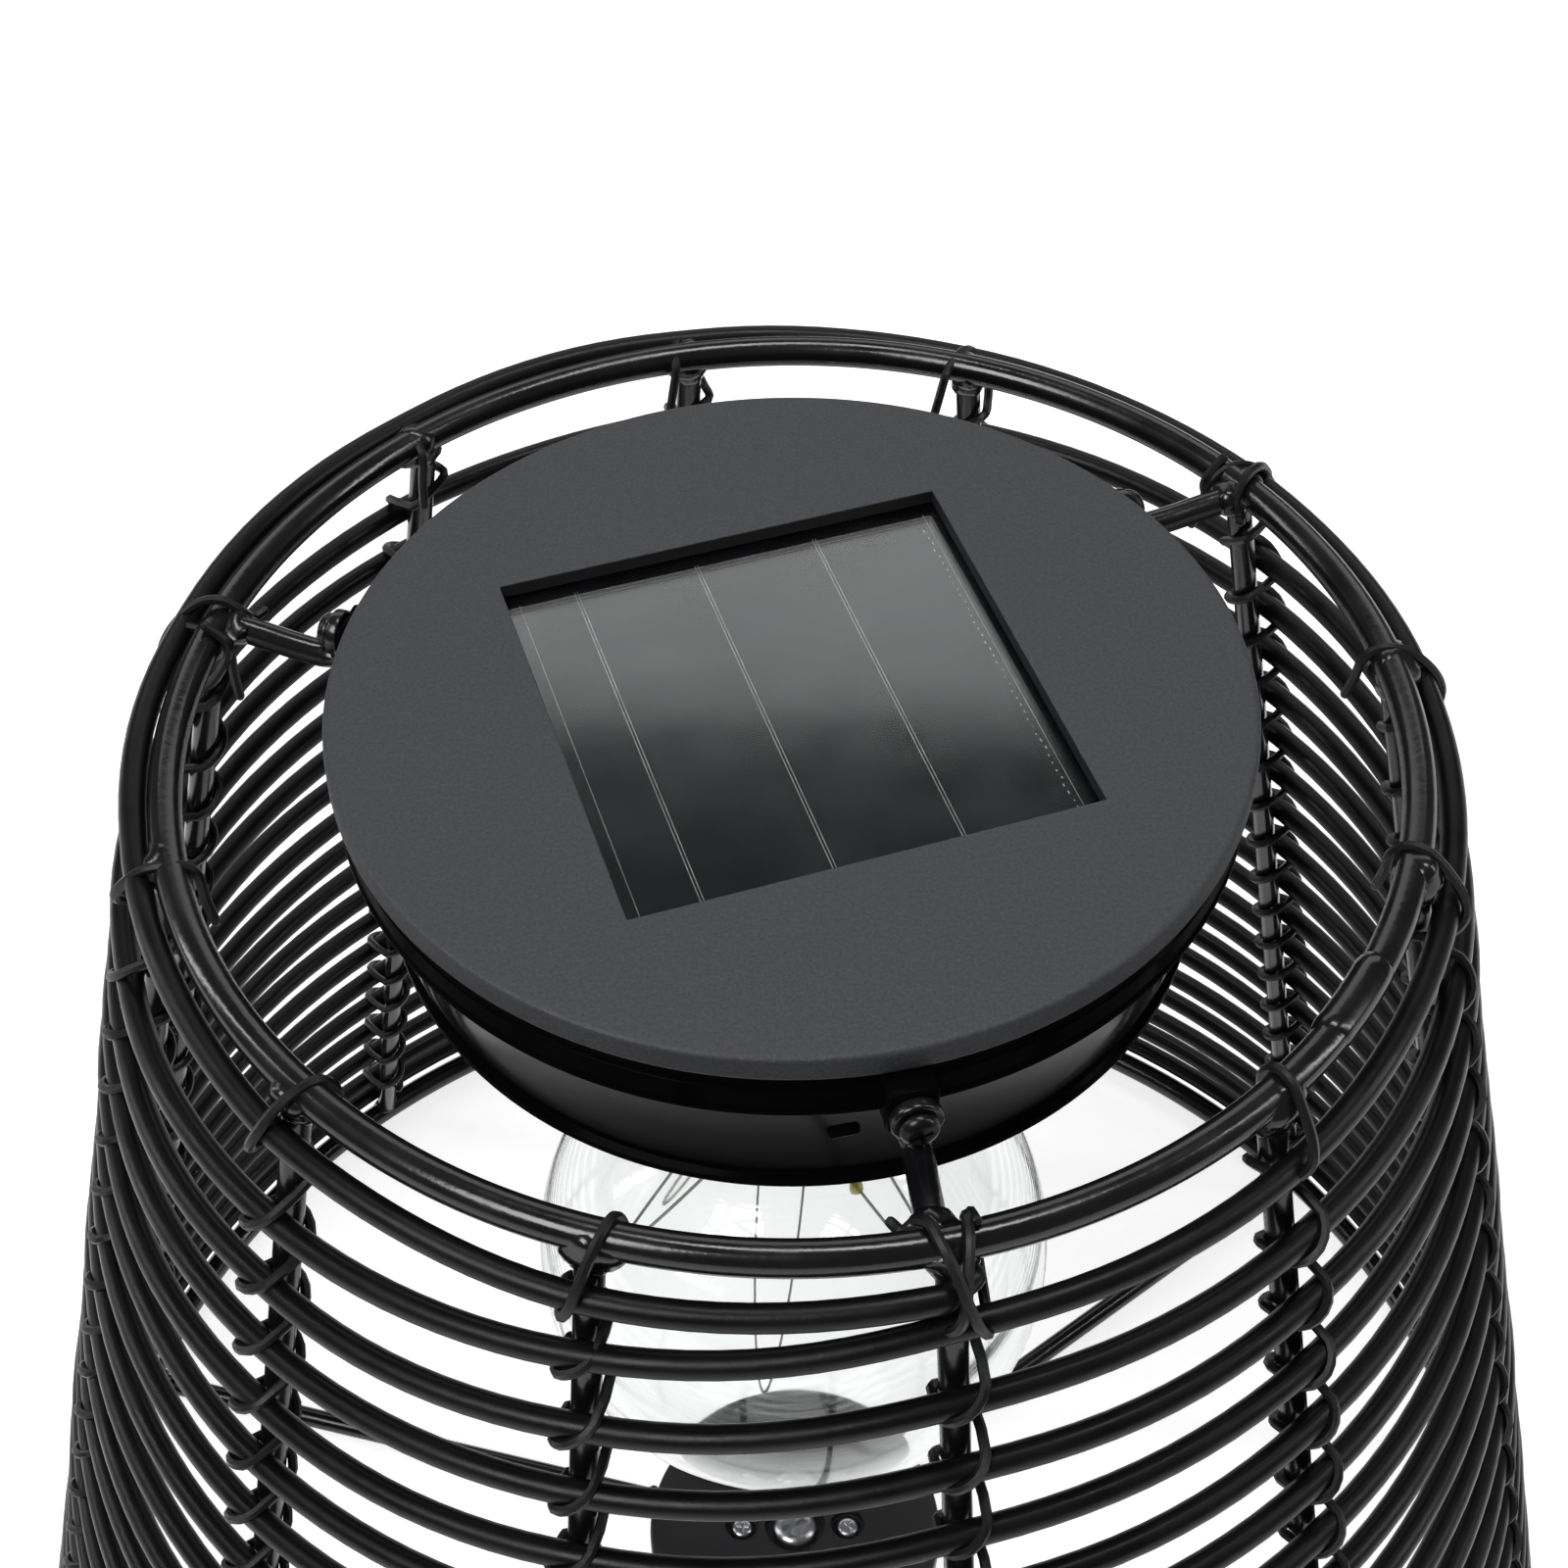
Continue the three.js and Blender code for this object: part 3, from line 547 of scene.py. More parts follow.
def strand_z(turns):
    """Height of the strand, a number of turns from the first arm. It steps down once in each turn."""
    first = np.interp(turns, *zip(*FIRST_TURN)) * MM
    course = np.floor(turns)
    step_left = np.clip(1 - (turns - course) / STEP_TURNS, 0, 1) ** 2
    below = SECOND_COURSE + COURSE_PITCH * (course - 1)
    above = np.where(course == 1, FIRST_TURN[-1][1] * MM, below - COURSE_PITCH)
    later = below + (above - below) * step_left
    return TOP_Z - np.minimum(FULL_DROP, np.where(turns < 1, first, later))


def eased(values, reach):
    """The same values with their sudden turns smoothed over this many places each way."""
    weights = np.hanning(2 * reach + 3)[1:-1]
    ends = np.concatenate([np.full(reach, values[0]), values, np.full(reach, values[-1])])
    return np.convolve(ends, weights / weights.sum(), mode="valid")


def strand_path():
    """The strand's centreline. It sags and bulges a little between the ribs, as hand winding leaves it."""
    turns = np.arange(STRAND_START, STRAND_END, 1 / STEPS_PER_TURN)
    z = eased(strand_z(turns), 5)
    free = np.abs(np.sin(np.pi * RIBS * turns))       # 0 at a rib, 1 midway between two
    wander = np.array([noise.noise(Vector((t * 5.3, 0.7, 1.9))) for t in turns])
    bulge = np.array([noise.noise(Vector((t * 4.1, 8.3, 2.2))) for t in turns])
    z_free = z + free * wander * SAG
    beside_ring = TOP_R + np.sqrt(np.maximum(0, FIRST_COURSE_REACH ** 2 - (TOP_Z - z) ** 2))
    tucked = LOOSE_END_TUCK * np.clip(turns / STRAND_START, 0, 1)
    r = np.maximum(rib_r(z) + STRAND_OUT, beside_ring) + free * bulge * BULGE - tucked
    angle = rib_angle(HANGER_RIBS[0] - turns * RIBS)
    return np.stack([r * np.cos(angle), r * np.sin(angle), z_free], axis=1)


def make_strand():
    shape = tube(strand_path(), STRAND, 14)
    lengths = [f"weave_strand_{i + 1}" for i in range(STRAND_LENGTHS)]
    mesh_object("woven_strand", shape, STRAND_PLASTIC, stands_for=lengths)


def crossings(rib):
    """Heights at which the strand passes a rib, from the top down."""
    first = ((HANGER_RIBS[0] - rib) % RIBS) / RIBS or 1.0
    heights = strand_z(np.arange(first, STRAND_END, 1.0))
    return heights[heights > STRAND_FOOT_Z + 1 * MM]


# The first tie, over the top ring and the first wrap, in millimetres out from the ring's centreline, to the
# right as seen from outside, and up.
TOP_TIE = [
    (-4.6, 4.6, -9.5), (-3.9, 3.8, -5.0), (-3.6, 3.0, -0.5), (-1.6, 2.5, 3.1),
    (1.6, 2.0, 3.3), (4.6, 1.2, 0.9), (7.6, 0.3, -2.6), (8.8, -0.7, -5.6),
    (7.6, -2.0, -8.2), (4.2, -3.0, -9.6), (0.4, -3.2, -10.2),
]
# A second, crossing tie where an arm is welded on.
ARM_TIE = [
    (-5.5, -6.5, -1.0), (-4.2, -5.2, -1.5), (-3.9, -3.6, 0.6), (-1.2, -2.6, 3.7), (2.2, -1.8, 3.6),
    (5.2, -0.7, 1.3), (8.0, 0.5, -2.4), (9.4, 1.8, -6.2), (8.2, 3.4, -9.4), (3.8, 4.2, -10.6),
    (0.2, 4.3, -8.0), (-3.2, 4.0, -2.5), (-3.6, 3.6, 0.9), (-0.4, 3.4, 3.6),
]


def curve_through(points, steps=5):
    """A smooth path through each point."""
    points = np.array(points, float)
    padded = np.vstack([2 * points[0] - points[1], points, 2 * points[-1] - points[-2]])
    made = []
    for a, b, c, d in zip(padded, padded[1:], padded[2:], padded[3:]):
        for t in np.arange(steps) / steps:
            made.append(0.5 * (2 * b + (c - a) * t + (2 * a - 5 * b + 4 * c - d) * t ** 2
                               + (3 * b - a - 3 * c + d) * t ** 3))
    made.append(points[-1])
    return np.array(made)


def beside_top_ring(points):
    """Millimetres out, to the right and up from the top ring's centreline, as places in a rib's own frame."""
    return np.array([(TOP_R + out * MM, right * MM, TOP_Z + up * MM) for out, right, up in points])


def binding_path(rib):
    """The cord winds down a rib, once round it and the strand for each crossing, in the rib's own frame."""
    heights = crossings(rib)
    wraps = np.arange(0.5, len(heights) - 0.55, 1 / CORD_STEPS)
    level = np.interp(wraps, np.arange(len(heights)), heights)
    phase = wraps * TAU
    wobble = np.array([noise.noise(Vector((w * 1.3, rib * 3.7, 0.4))) for w in wraps])
    # Behind the rib the cord hugs the rod, and in front it passes over the strand.
    ahead = np.cos(phase)
    out = np.where(ahead > 0, 4.1 + 3.2 * ahead, 3.05 * ahead)
    crossing = 0.3      # it passes the rib's side, from one to the other, while ahead is within this of 0
    straight = np.clip(np.abs(ahead) / crossing, 0, 1)
    out = out * straight + (1 - straight) * (2.05 + ahead / crossing * 2.6)
    side = -(3.15 + 0.5 * wobble) * np.sin(phase)
    helix = np.stack([rib_r(level) + out * MM, side * MM, level + 0.5 * wobble * MM], axis=1)
    # The tie reaches down under the first course, however high that lies on this rib.
    under = (TOP_Z - heights[0]) / (FIRST_TURN[-1][1] * MM)
    tie = beside_top_ring([(a, b, min(c, c * (0.35 + 0.65 * under))) for a, b, c in TOP_TIE])
    return np.vstack([curve_through(np.vstack([tie, helix[2:4]]), 4)[:-4], helix[2:]])


def make_binding():
    for i in range(RIBS):
        cords = [tube(binding_path(i), BINDING, CORD_SIDES)]
        if i in HANGER_RIBS:
            cords.append(tube(curve_through(beside_top_ring(ARM_TIE)), BINDING, CORD_SIDES))
        shape = placed(merged(*cords), at_angle(rib_angle(i)))
        mesh_object(f"binding_{i + 1}", shape, BINDING_PLASTIC)


# ---------- screws, arms and hub ----------


def pan_screw(head_r, head_height, shank_r, shank_length):
    """A pan-head screw with a cross recess, head up, whose head rests at height 0."""
    outline = softened(
        [(0, -shank_length), (shank_r * 0.6, -shank_length), (shank_r, -shank_length * 0.8), (shank_r, 0),
         (head_r, 0), (head_r, head_height * 0.55), (head_r * 0.72, head_height * 0.96), (0, head_height)],
        head_r * 0.22)
    bar, depth = head_r * 0.26, head_height * 0.9
    arm = block((head_r * 1.15, bar, depth), (0, 0, head_height), 0)
    other = block((bar, head_r * 1.15, depth), (0, 0, head_height), 0)
    return carved(turned(outline, 48), arm, other)


def outwards(radius, z, angle):
    """Lays a shape made along Z down so that its Z points out from the axis, at an angle."""
    return at_angle(angle) @ Matrix.Translation((radius, 0, z)) @ Matrix.Rotation(math.pi / 2, 4, "Y")


def make_arms():
    eye_x = PAD_R + 0.3 * MM
    middle = eye_x + EYE_THICKNESS / 2
    annulus = softened([(EYE_HOLE_R, 0), (EYE_R, 0), (EYE_R, EYE_THICKNESS), (EYE_HOLE_R, EYE_THICKNESS)],
                       0.5 * MM, closed=True)
    end_r = TOP_R - 3.2 * MM
    screw = pan_screw(2.8 * MM, 2 * MM, 1.5 * MM, 5 * MM)
    for i, rib in enumerate(HANGER_RIBS):
        skew = rib_angle(rib) + ARM_WELD_TURN - eye_angle(i)
        end = Vector((end_r * math.cos(skew), end_r * math.sin(skew), TOP_Z - 0.5 * MM))
        elbow = Vector((middle + 3.4 * MM, 0.1 * end.y, EYE_Z - 5.3 * MM))
        neck = [
            (middle, 0, EYE_Z - 2.2 * MM), (middle + 0.1 * MM, 0, EYE_Z - 3.8 * MM),
            (middle + 1.0 * MM, 0.02 * end.y, EYE_Z - 5.1 * MM), elbow,
            elbow.lerp(end, 0.35) - Vector((0, 0, 0.2 * MM)), elbow.lerp(end, 0.7), end,
        ]
        path = curve_through(neck, 6)
        along = np.linspace(0, 1, len(path))
        rod = ARM_ROD / MM
        thick = np.interp(along, [0, 0.2, 0.5, 1], [0.95, 1.25, rod, rod]) * MM
        wide = np.interp(along, [0, 0.16, 0.3, 0.5, 1], [3.0, 2.5, 2.1, rod, rod]) * MM
        bar = tube(path, np.stack([thick, wide], axis=1), 18)
        blob = lump(end, (2.7 * MM, 3.5 * MM, 2.6 * MM), 0.35, 5 + i)
        eye = placed(turned(annulus, 40), outwards(eye_x, EYE_Z, 0))
        arm = placed(merged(eye, bar, blob), at_angle(eye_angle(i)))
        mesh_object(f"arm_{i + 1}", arm, POWDER_COAT,
                    stands_for=[f"hanger_arm_{i + 1}"])
        seat = outwards(eye_x + EYE_THICKNESS + SCREW_SEAT, EYE_Z, eye_angle(i)) @ at_angle(0.3 + i)
        mesh_object(f"arm_screw_{i + 1}", placed(screw, seat), BLACK_SCREW,
                    stands_for=[f"hanger_screw_{i + 1}"])


def make_hub():
    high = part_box("hub_plate")[1]
    r, seat, over = high.x, high.z - HUB_RECESS, 1 * MM      # the cutting tools reach this far past a face
    disc = turned(softened([(0, 0), (r, 0), (r, high.z), (0, high.z)], 1.0 * MM))
    tools = []
    for _, x, recess, hole, *_ in HUB_SCREWS:
        cup = softened([(0, seat), (recess * MM, seat), (recess * MM, high.z),
                        (recess * MM + over, high.z + over), (0, high.z + over)], 0.3 * MM)
        bore = [(0, -over), (hole * MM, -over), (hole * MM, seat + over), (0, seat + over)]
        tools += [placed(turned(part, 48), Matrix.Translation((x * MM, 0, 0))) for part in (cup, bore)]
    # The hub's lighter grey is painted light on the same black coat as the frame.
    mesh_object("hub", carved(disc, *tools), HUB_COAT_PAINTED_LIGHT,
                stands_for=["hub_plate"], flat=True)
    for side, x, _, _, head, height, shank in HUB_SCREWS:
        screw = pan_screw(head * MM, height * MM, shank * MM, seat - 0.6 * MM)
        spot = Matrix.Translation((x * MM, 0, seat + SCREW_SEAT)) @ at_angle(0.4 + x)
        mesh_object(f"hub_bolt_{side}", placed(screw, spot), ZINC,
                    stands_for=[f"hub_screw_{side}"])


# ---------- cup ----------


def make_cup():
    floor, lip, ledge = CUP_FOOT_Z + CUP_WALL, 1.2 * MM, 0.5 * MM
    top = CAP_RIM - 0.3 * MM
    hole = 6 * MM
    groove_r = BAND_R - 0.35 * MM
    outline = softened([
        (hole, CUP_FOOT_Z),
        (CUP_FOOT_R + lip, CUP_FOOT_Z),
        (CUP_FOOT_R + lip, CUP_FOOT_Z + 1.4 * MM),
        (CUP_FOOT_R, CUP_FOOT_Z + 1.9 * MM),
        (BAND_R - ledge, BAND_Z - 0.5 * MM),
        (BAND_R + ledge, BAND_Z),
        (BAND_R + ledge, BAND_Z + 0.7 * MM),
        (BAND_R, BAND_Z + 1.2 * MM),
        (BAND_R, BAND_Z + 4.6 * MM),
        (groove_r, BAND_Z + 4.8 * MM),
        (groove_r, BAND_Z + 5.3 * MM),
        (BAND_R, BAND_Z + 5.5 * MM),
        (BAND_R, top),
        (BAND_R - CUP_WALL, top),
        (BAND_R - CUP_WALL, BAND_Z),
        (CUP_FOOT_R - CUP_WALL, floor),
        (hole, floor),
    ], 0.3 * MM, 3, closed=True)
    wall = turned(outline)
    depth = PAD_R - BAND_R + 1 * MM
    pad = block((depth, 2 * EYE_R, 8 * MM), (PAD_R - depth / 2, 0, EYE_Z - 0.4 * MM), 0.7 * MM, 3)
    bump = block((1.6 * MM, 4.6 * MM, 1.7 * MM),
                 (BAND_R - 0.2 * MM, -8.4 * MM, TOP_Z - 7.4 * MM), 0.6 * MM, 3)
    groove = block((2.4 * MM, 0.8 * MM, 8 * MM), (BAND_R + 0.6 * MM, 12.5 * MM, BAND_Z - 3 * MM), 0.2 * MM)
    bore = turned([(0, -4.6 * MM), (EYE_HOLE_R, -4.6 * MM), (EYE_HOLE_R, 4 * MM), (0, 4 * MM)], 24)
    pads, tools = [], []
    for i in range(len(HANGER_RIBS)):
        turn = at_angle(eye_angle(i))
        pads += [placed(pad, turn), placed(bump, turn)]
        tools += [placed(groove, turn), placed(bore, outwards(PAD_R, EYE_Z, eye_angle(i)))]
    knob_x, knob_y = 1.5 * MM, 38 * MM
    tools.append(block((7 * MM, 4 * MM, 6 * MM), (knob_x, knob_y, CUP_FOOT_Z), 0.2 * MM))
    shell = carved(wall, *pads, operation="UNION")
    post_r, post_foot, post_top = 2 * MM, floor - 0.5 * MM, floor + 3.7 * MM
    post = turned(softened(
        [(0, post_foot), (post_r, post_foot), (post_r, post_top), (0, post_top)], 0.3 * MM), 24)
    corners = [(sx * 20 * MM, (36 + sy * 10) * MM) for sx in (-1, 1) for sy in (-1, 1)]
    posts = [placed(post, Matrix.Translation((x, y, 0))) for x, y in corners]
    shell = merged(carved(shell, *tools), *posts)
    mesh_object("cup", shell, CUP_PLASTIC, sharp_deg=30, stands_for=["lamp_cup"])


# ---------- cap ----------


def make_cap():
    """Rings of points from the window's inner wall, over the top and round the rim, to inside the skirt."""
    segments = 192
    turn = np.arange(segments) * TAU / segments
    to_square = 1 / np.maximum(np.abs(np.cos(turn)), np.abs(np.sin(turn)))
    plate = CAP_TOP - CAP_PLATE
    half, edge = WINDOW / 2, 0.22 * MM
    sections = [(half * to_square, plate), (half * to_square, CAP_TOP - edge)]
    for t in np.linspace(0.3, 1, 3):
        bend = t * math.pi / 2
        across = half + edge * (1 - math.cos(bend))
        sections.append((across * to_square, CAP_TOP - edge * (1 - math.sin(bend))))
    rim = softened([
        (CAP_R - 2.5 * MM, CAP_TOP), (CAP_R - 0.1 * MM, CAP_TOP - 0.05 * MM), (CAP_R, CAP_RIM),
        (SKIRT_R, CAP_RIM), (SKIRT_R, SKIRT_FOOT), (SKIRT_R - SKIRT_WALL, SKIRT_FOOT),
        (SKIRT_R - SKIRT_WALL, plate), (half * 1.55, plate),
    ], 1.0 * MM, 7)
    sections += [(np.full(segments, r), z) for r, z in rim]
    vertices = []
    for r, z in sections:
        vertices.extend(zip(r * np.cos(turn), r * np.sin(turn), [z] * segments))
    faces = faces_between(len(sections), segments, closed=True)
    bore_r, boss_r, boss_foot, boss_top = 1.5 * MM, 3.2 * MM, plate - 2.8 * MM, plate + 0.5 * MM
    boss = turned(softened(
        [(bore_r, boss_foot), (boss_r, boss_foot), (boss_r, boss_top), (bore_r, boss_top)],
        0.2 * MM, closed=True), 32)
    bosses = [
        placed(boss, at_angle(i * TAU / CAP_BOSSES) @ Matrix.Translation((CAP_BOSS_R, 0, 0)))
        for i in range(CAP_BOSSES)
    ]
    shell = placed(merged((vertices, faces), *bosses), at_angle(WINDOW_TURN))
    cap = mesh_object("cap", shell, CAP_PLASTIC, CAP, stands_for=["cap_shell"], flat=True)
    # The window's inner walls take the darker grey as painted shade, for the shadow that falls inside the
    # window.
    cap.data.materials.append(INNER_PLASTIC_AND_PAINTED_SHADE)
    for face in cap.data.polygons:
        x, y, _ = at_angle(-WINDOW_TURN) @ face.center
        if max(abs(x), abs(y)) < half + 0.01 * MM:
            face.material_index = 1      # the window's inner walls, given the darker inner plastic as painted shade


def make_cell():
    """The solar cell: a dark plate with thin silver lines between its strips, under a clear cover."""
    low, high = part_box("solar_cell")
    turn = at_angle(WINDOW_TURN)
    plate = block((CELL_SIDE, CELL_SIDE, high.z - low.z), (0, 0, (low.z + high.z) / 2), 0.15 * MM)
    mesh_object("cell", placed(plate, turn), CELL_SILICON, CAP,
                stands_for=["solar_cell"], flat=True)
    line, raised = 0.1 * MM, 0.03 * MM
    length = WINDOW - 2.4 * MM
    z = high.z + raised / 2

    def strip(u, width=line, start=0.0, end=1.0):
        y = ((start + end) / 2 - 0.5) * length
        return block((width, (end - start) * length, raised), ((u - 0.5) * WINDOW, y, z), 0)

    lines = []
    for u in (0.163, 0.438, 0.713):      # the double lines between strips, as shares of the window's width
        lines += [strip(u - 0.0035), strip(u + 0.0035)]
    lines += [strip(0.035, 0.07 * MM), strip(0.972, 0.07 * MM)]
    rng = np.random.default_rng(7)
    for start in np.arange(0.02, 0.96, 0.023):      # flecks along one edge
        u = 0.958 + rng.uniform(-0.003, 0.003)
        lines.append(strip(u, 0.18 * MM, start, start + rng.uniform(0.002, 0.009)))
    for y in (0.475, 0.462):
        lines.append(block((length, 0.06 * MM, raised), (0, y * WINDOW, z), 0))
    mesh_object("cell_lines", placed(merged(*lines), turn), SILVER_LINE, CAP)
    low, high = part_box("cell_cover")
    glass = block((CELL_SIDE, CELL_SIDE, high.z - low.z), (0, 0, (low.z + high.z) / 2), 0.2 * MM)
    mesh_object("cover", placed(glass, turn), CLEAR_COVER, CAP,
                stands_for=["cell_cover"], flat=True)


def make_retainer():
    low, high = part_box("cell_retainer")
    r, hole, bore_r, over = high.x, 3 * MM, 1.5 * MM, 1 * MM
    disc = softened([(hole, low.z), (r, low.z), (r, high.z), (hole, high.z)], 0.35 * MM, closed=True)
    shape = turned(disc)
    foot, top = low.z - over, high.z + over
    bore = turned([(0, foot), (bore_r, foot), (bore_r, top), (0, top)], 24)
    screw = placed(pan_screw(2.4 * MM, 1.5 * MM, 1.2 * MM, 4.4 * MM), Matrix.Rotation(math.pi, 4, "X"))
    holes = []
    for i in range(CAP_BOSSES):
        spot = at_angle(WINDOW_TURN + i * TAU / CAP_BOSSES) @ Matrix.Translation((CAP_BOSS_R, 0, 0))
        holes.append(placed(bore, spot))
        seat = spot @ Matrix.Translation((0, 0, low.z - SCREW_SEAT))
        mesh_object(f"retainer_bolt_{i + 1}", placed(screw, seat), ZINC, CAP,
                    stands_for=[f"retainer_screw_{i + 1}"])
    mesh_object("retainer", carved(shape, *holes), INNER_PLASTIC_AND_PAINTED_SHADE, CAP,
                stands_for=["cell_retainer"], flat=True)
    low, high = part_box("cap_seal")
    rod = (high.z - low.z) / 2
    seal = tube(circle(high.x - rod, (low.z + high.z) / 2, 144), rod, 12, closed=True)
    mesh_object("seal_ring", seal, SEAL_RUBBER, CAP, stands_for=["cap_seal"])


# ---------- bulb ----------


def globe_outline(inset):
    """From the globe's lowest point up to its neck."""
    r, blend, neck = GLOBE_R - inset, NECK_BLEND + inset, NECK_R - inset
    reach = neck + blend
    meet = math.acos(reach / (r + blend))
    points = [(r * math.cos(a), GLOBE_Z + r * math.sin(a)) for a in np.linspace(-math.pi / 2, meet, 56)]
    points[0] = (0, GLOBE_Z - r)
    blend_z = GLOBE_Z + (r + blend) * math.sin(meet)
    points += [
        (reach - blend * math.cos(a), blend_z - blend * math.sin(a)) for a in np.linspace(meet, 0, 16)[1:]
    ]
    return points + [(neck, GLOBE_HIGH.z)]


def make_globe():
    outline = globe_outline(0) + globe_outline(GLOBE_WALL)[::-1]
    mesh_object("globe", turned(outline, 128), CLEAR_GLOBE, sharp_deg=60,
                stands_for=["bulb_globe"])


def make_leds():
    """A thin double wire in loops inside the globe, with an LED in a drop of clear resin at intervals."""
    depths = np.array([0.56, 0.4, 0.94, 0.48, 0.66, 0.38])      # of each loop, as shares of the deepest
    loops, lead_r, wire_r = len(depths), 9 * MM, 0.2 * MM
    top = GLOBE_Z + 46 * MM
    steps = loops * 40
    t = np.arange(steps + 1) / steps
    swing = (1 - np.cos(TAU * loops * t)) / 2
    depth = depths[np.minimum(loops - 1, (t * loops).astype(int))]
    stray = np.array([noise.noise(Vector((s * 9.1, 3.3, 0.2))) for s in t])
    shake = np.array([noise.noise(Vector((s * 14.7, 0.9, 6.2))) for s in t])
    turn = t * TAU * 0.96 + 0.6 * np.sin(TAU * loops * t) / loops + 0.14 * stray
    r = lead_r + swing * (30 * MM - 8 * MM * depth + 3 * MM * shake)
    z = top - swing * depth * (68 * MM + 9 * MM * stray)
    wire = np.stack([r * np.cos(turn), r * np.sin(turn), z], axis=1)
    lead = [(lead_r, 0, h) for h in np.linspace(GLOBE_HIGH.z - 5 * MM, top + 4 * MM, 12)]
    looped = wire[3:]
    first = tube(np.vstack([lead, looped]), wire_r, 6)
    second = tube(looped + np.array([0, 0, 0.5 * MM]), wire_r, 6)
    mesh_object("led_wire", merged(first, second), LED_WIRE_SILVER,
                stands_for=["led_string"])
    beads = []
    for i, step in enumerate(range(16, steps - 4, 24)):
        x, y, height = wire[step]
        beads.append(lump((x, y, height), (1.3 * MM, 1.3 * MM, 1.9 * MM), 0.15, i, 2))
    mesh_object("led_drops", merged(*beads), LED_DROP)


def make_socket():
    low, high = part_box("bulb_socket")
    r, flange, bore, lead_hole = 18 * MM, 25 * MM, NECK_R + 0.3 * MM, 4 * MM
    seat = GLOBE_HIGH.z + 0.3 * MM
    ribs = []
    body = high.z - 6 * MM
    for i in range(3):
        z = body - i * 5 * MM
        ribs += [(r, z), (r - 0.6 * MM, z - 0.5 * MM), (r - 0.6 * MM, z - 1.3 * MM), (r, z - 1.8 * MM)]
    outline = softened(
        [(lead_hole, high.z), (flange, high.z), (flange, high.z - 2 * MM), (r, high.z - 3 * MM), *ribs,
         (r - 1 * MM, low.z), (bore, low.z), (bore, seat), (lead_hole, seat)],
        0.35 * MM, 3, closed=True)
    mesh_object("socket", turned(outline, 96), CUP_PLASTIC, stands_for=["bulb_socket"])


# ---------- electronics in the cup ----------


def make_board():
    low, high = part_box("circuit_board")
    size, centre = high - low, (high + low) / 2
    mesh_object("board", block(size, centre, 0.1 * MM, 1), BOARD_GREEN,
                stands_for=["circuit_board"])
    z = high.z
    pads, chips = [], []
    rng = np.random.default_rng(3)
    for row in range(3):
        for column in range(6):
            x = low.x + (6 + column * 6.4) * MM
            y = low.y + (6 + row * 7) * MM
            length = rng.choice([1.6, 2.4, 3.2]) * MM
            chips.append(block((length, 1.3 * MM, 0.8 * MM), (x, y, z + 0.42 * MM), 0.12 * MM, 1))
            for end in (-1, 1):
                spot = (x + end * length / 2, y, z + 0.26 * MM)
                pads.append(block((0.7 * MM, 1.5 * MM, 0.5 * MM), spot, 0.1 * MM, 1))
    bore_r, coil_r, coil_top = 1.2 * MM, 3.6 * MM, z + 5 * MM
    coil = softened([(bore_r, z), (coil_r, z), (coil_r, coil_top), (bore_r, coil_top)], 0.6 * MM, closed=True)
    chips.append(placed(turned(coil, 32), Matrix.Translation((14 * MM, centre.y - 5.5 * MM, 0))))
    for x in (-18, -14.5, -11):      # blobs of solder where the leads end
        spot = (x * MM, low.y + 2.2 * MM, z + 0.2 * MM)
        pads.append(lump(spot, (1.1 * MM, 1.1 * MM, 0.7 * MM), 0.2, int(x), 2))
    mesh_object("board_chips", merged(*chips), CHIP_BLACK)
    mesh_object("board_pads", merged(*pads), COPPER_PAD)


def make_battery():
    low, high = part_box("battery")
    r, middle = (high.z - low.z) / 2, (high + low) / 2
    button_r = 2.6 * MM
    outline = softened([(0, low.x), (r, low.x), (r, high.x - 1.6 * MM), (button_r, high.x - 1.4 * MM),
                        (button_r, high.x), (0, high.x)], 0.9 * MM, 5)
    lie = Matrix.Translation((0, middle.y, middle.z)) @ Matrix.Rotation(math.pi / 2, 4, "Y")
    cell = placed(turned(outline, 64), lie)
    mesh_object("battery_cell", cell, BATTERY_WRAP, stands_for=["battery"])
    cap_r, cap_end = button_r + 0.05 * MM, high.x + 0.02 * MM
    end = softened([(0, high.x - 0.4 * MM), (cap_r, high.x - 0.9 * MM), (cap_r, cap_end), (0, cap_end)],
                   0.3 * MM)
    mesh_object("battery_button", placed(turned(end, 32), lie), CONTACT_METAL)


def make_spring():
    battery_low, battery_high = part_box("battery")
    axis_z = (battery_low.z + battery_high.z) / 2
    low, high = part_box("battery_spring")
    coil_turns, steps = 5, 140
    t = np.linspace(0, 1, steps)
    along = np.interp(t, [0, 1], [low.x + 0.4 * MM, high.x - 0.4 * MM])
    radius = np.interp(t, [0, 1], [4.5, 3.0]) * MM
    angle = t * coil_turns * TAU
    axis_y = (low.y + high.y) / 2
    path = np.stack([along, axis_y + radius * np.cos(angle), axis_z + radius * np.sin(angle)], axis=1)
    mesh_object("spring_coil", tube(path, 0.33 * MM, 8), CONTACT_METAL,
                stands_for=["battery_spring"])


def refinish_cad():
    """CAD pieces whose shape is right keep it, with rounded edges and a finish of their own."""
    for node, material in (
            ("battery_holder", INNER_PLASTIC_AND_PAINTED_SHADE), ("battery_contact", CONTACT_METAL),
            ("switch_body", INNER_PLASTIC_AND_PAINTED_SHADE), ("switch_knob", CAP_PLASTIC)):
        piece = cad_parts[node]
        piece.data.materials.clear()
        piece.data.materials.append(material)
        bevel = piece.modifiers.new("edges", "BEVEL")
        bevel.width = 0.25 * MM
        bevel.segments = 2
        bevel.limit_method = "ANGLE"


# ---------- stage ----------


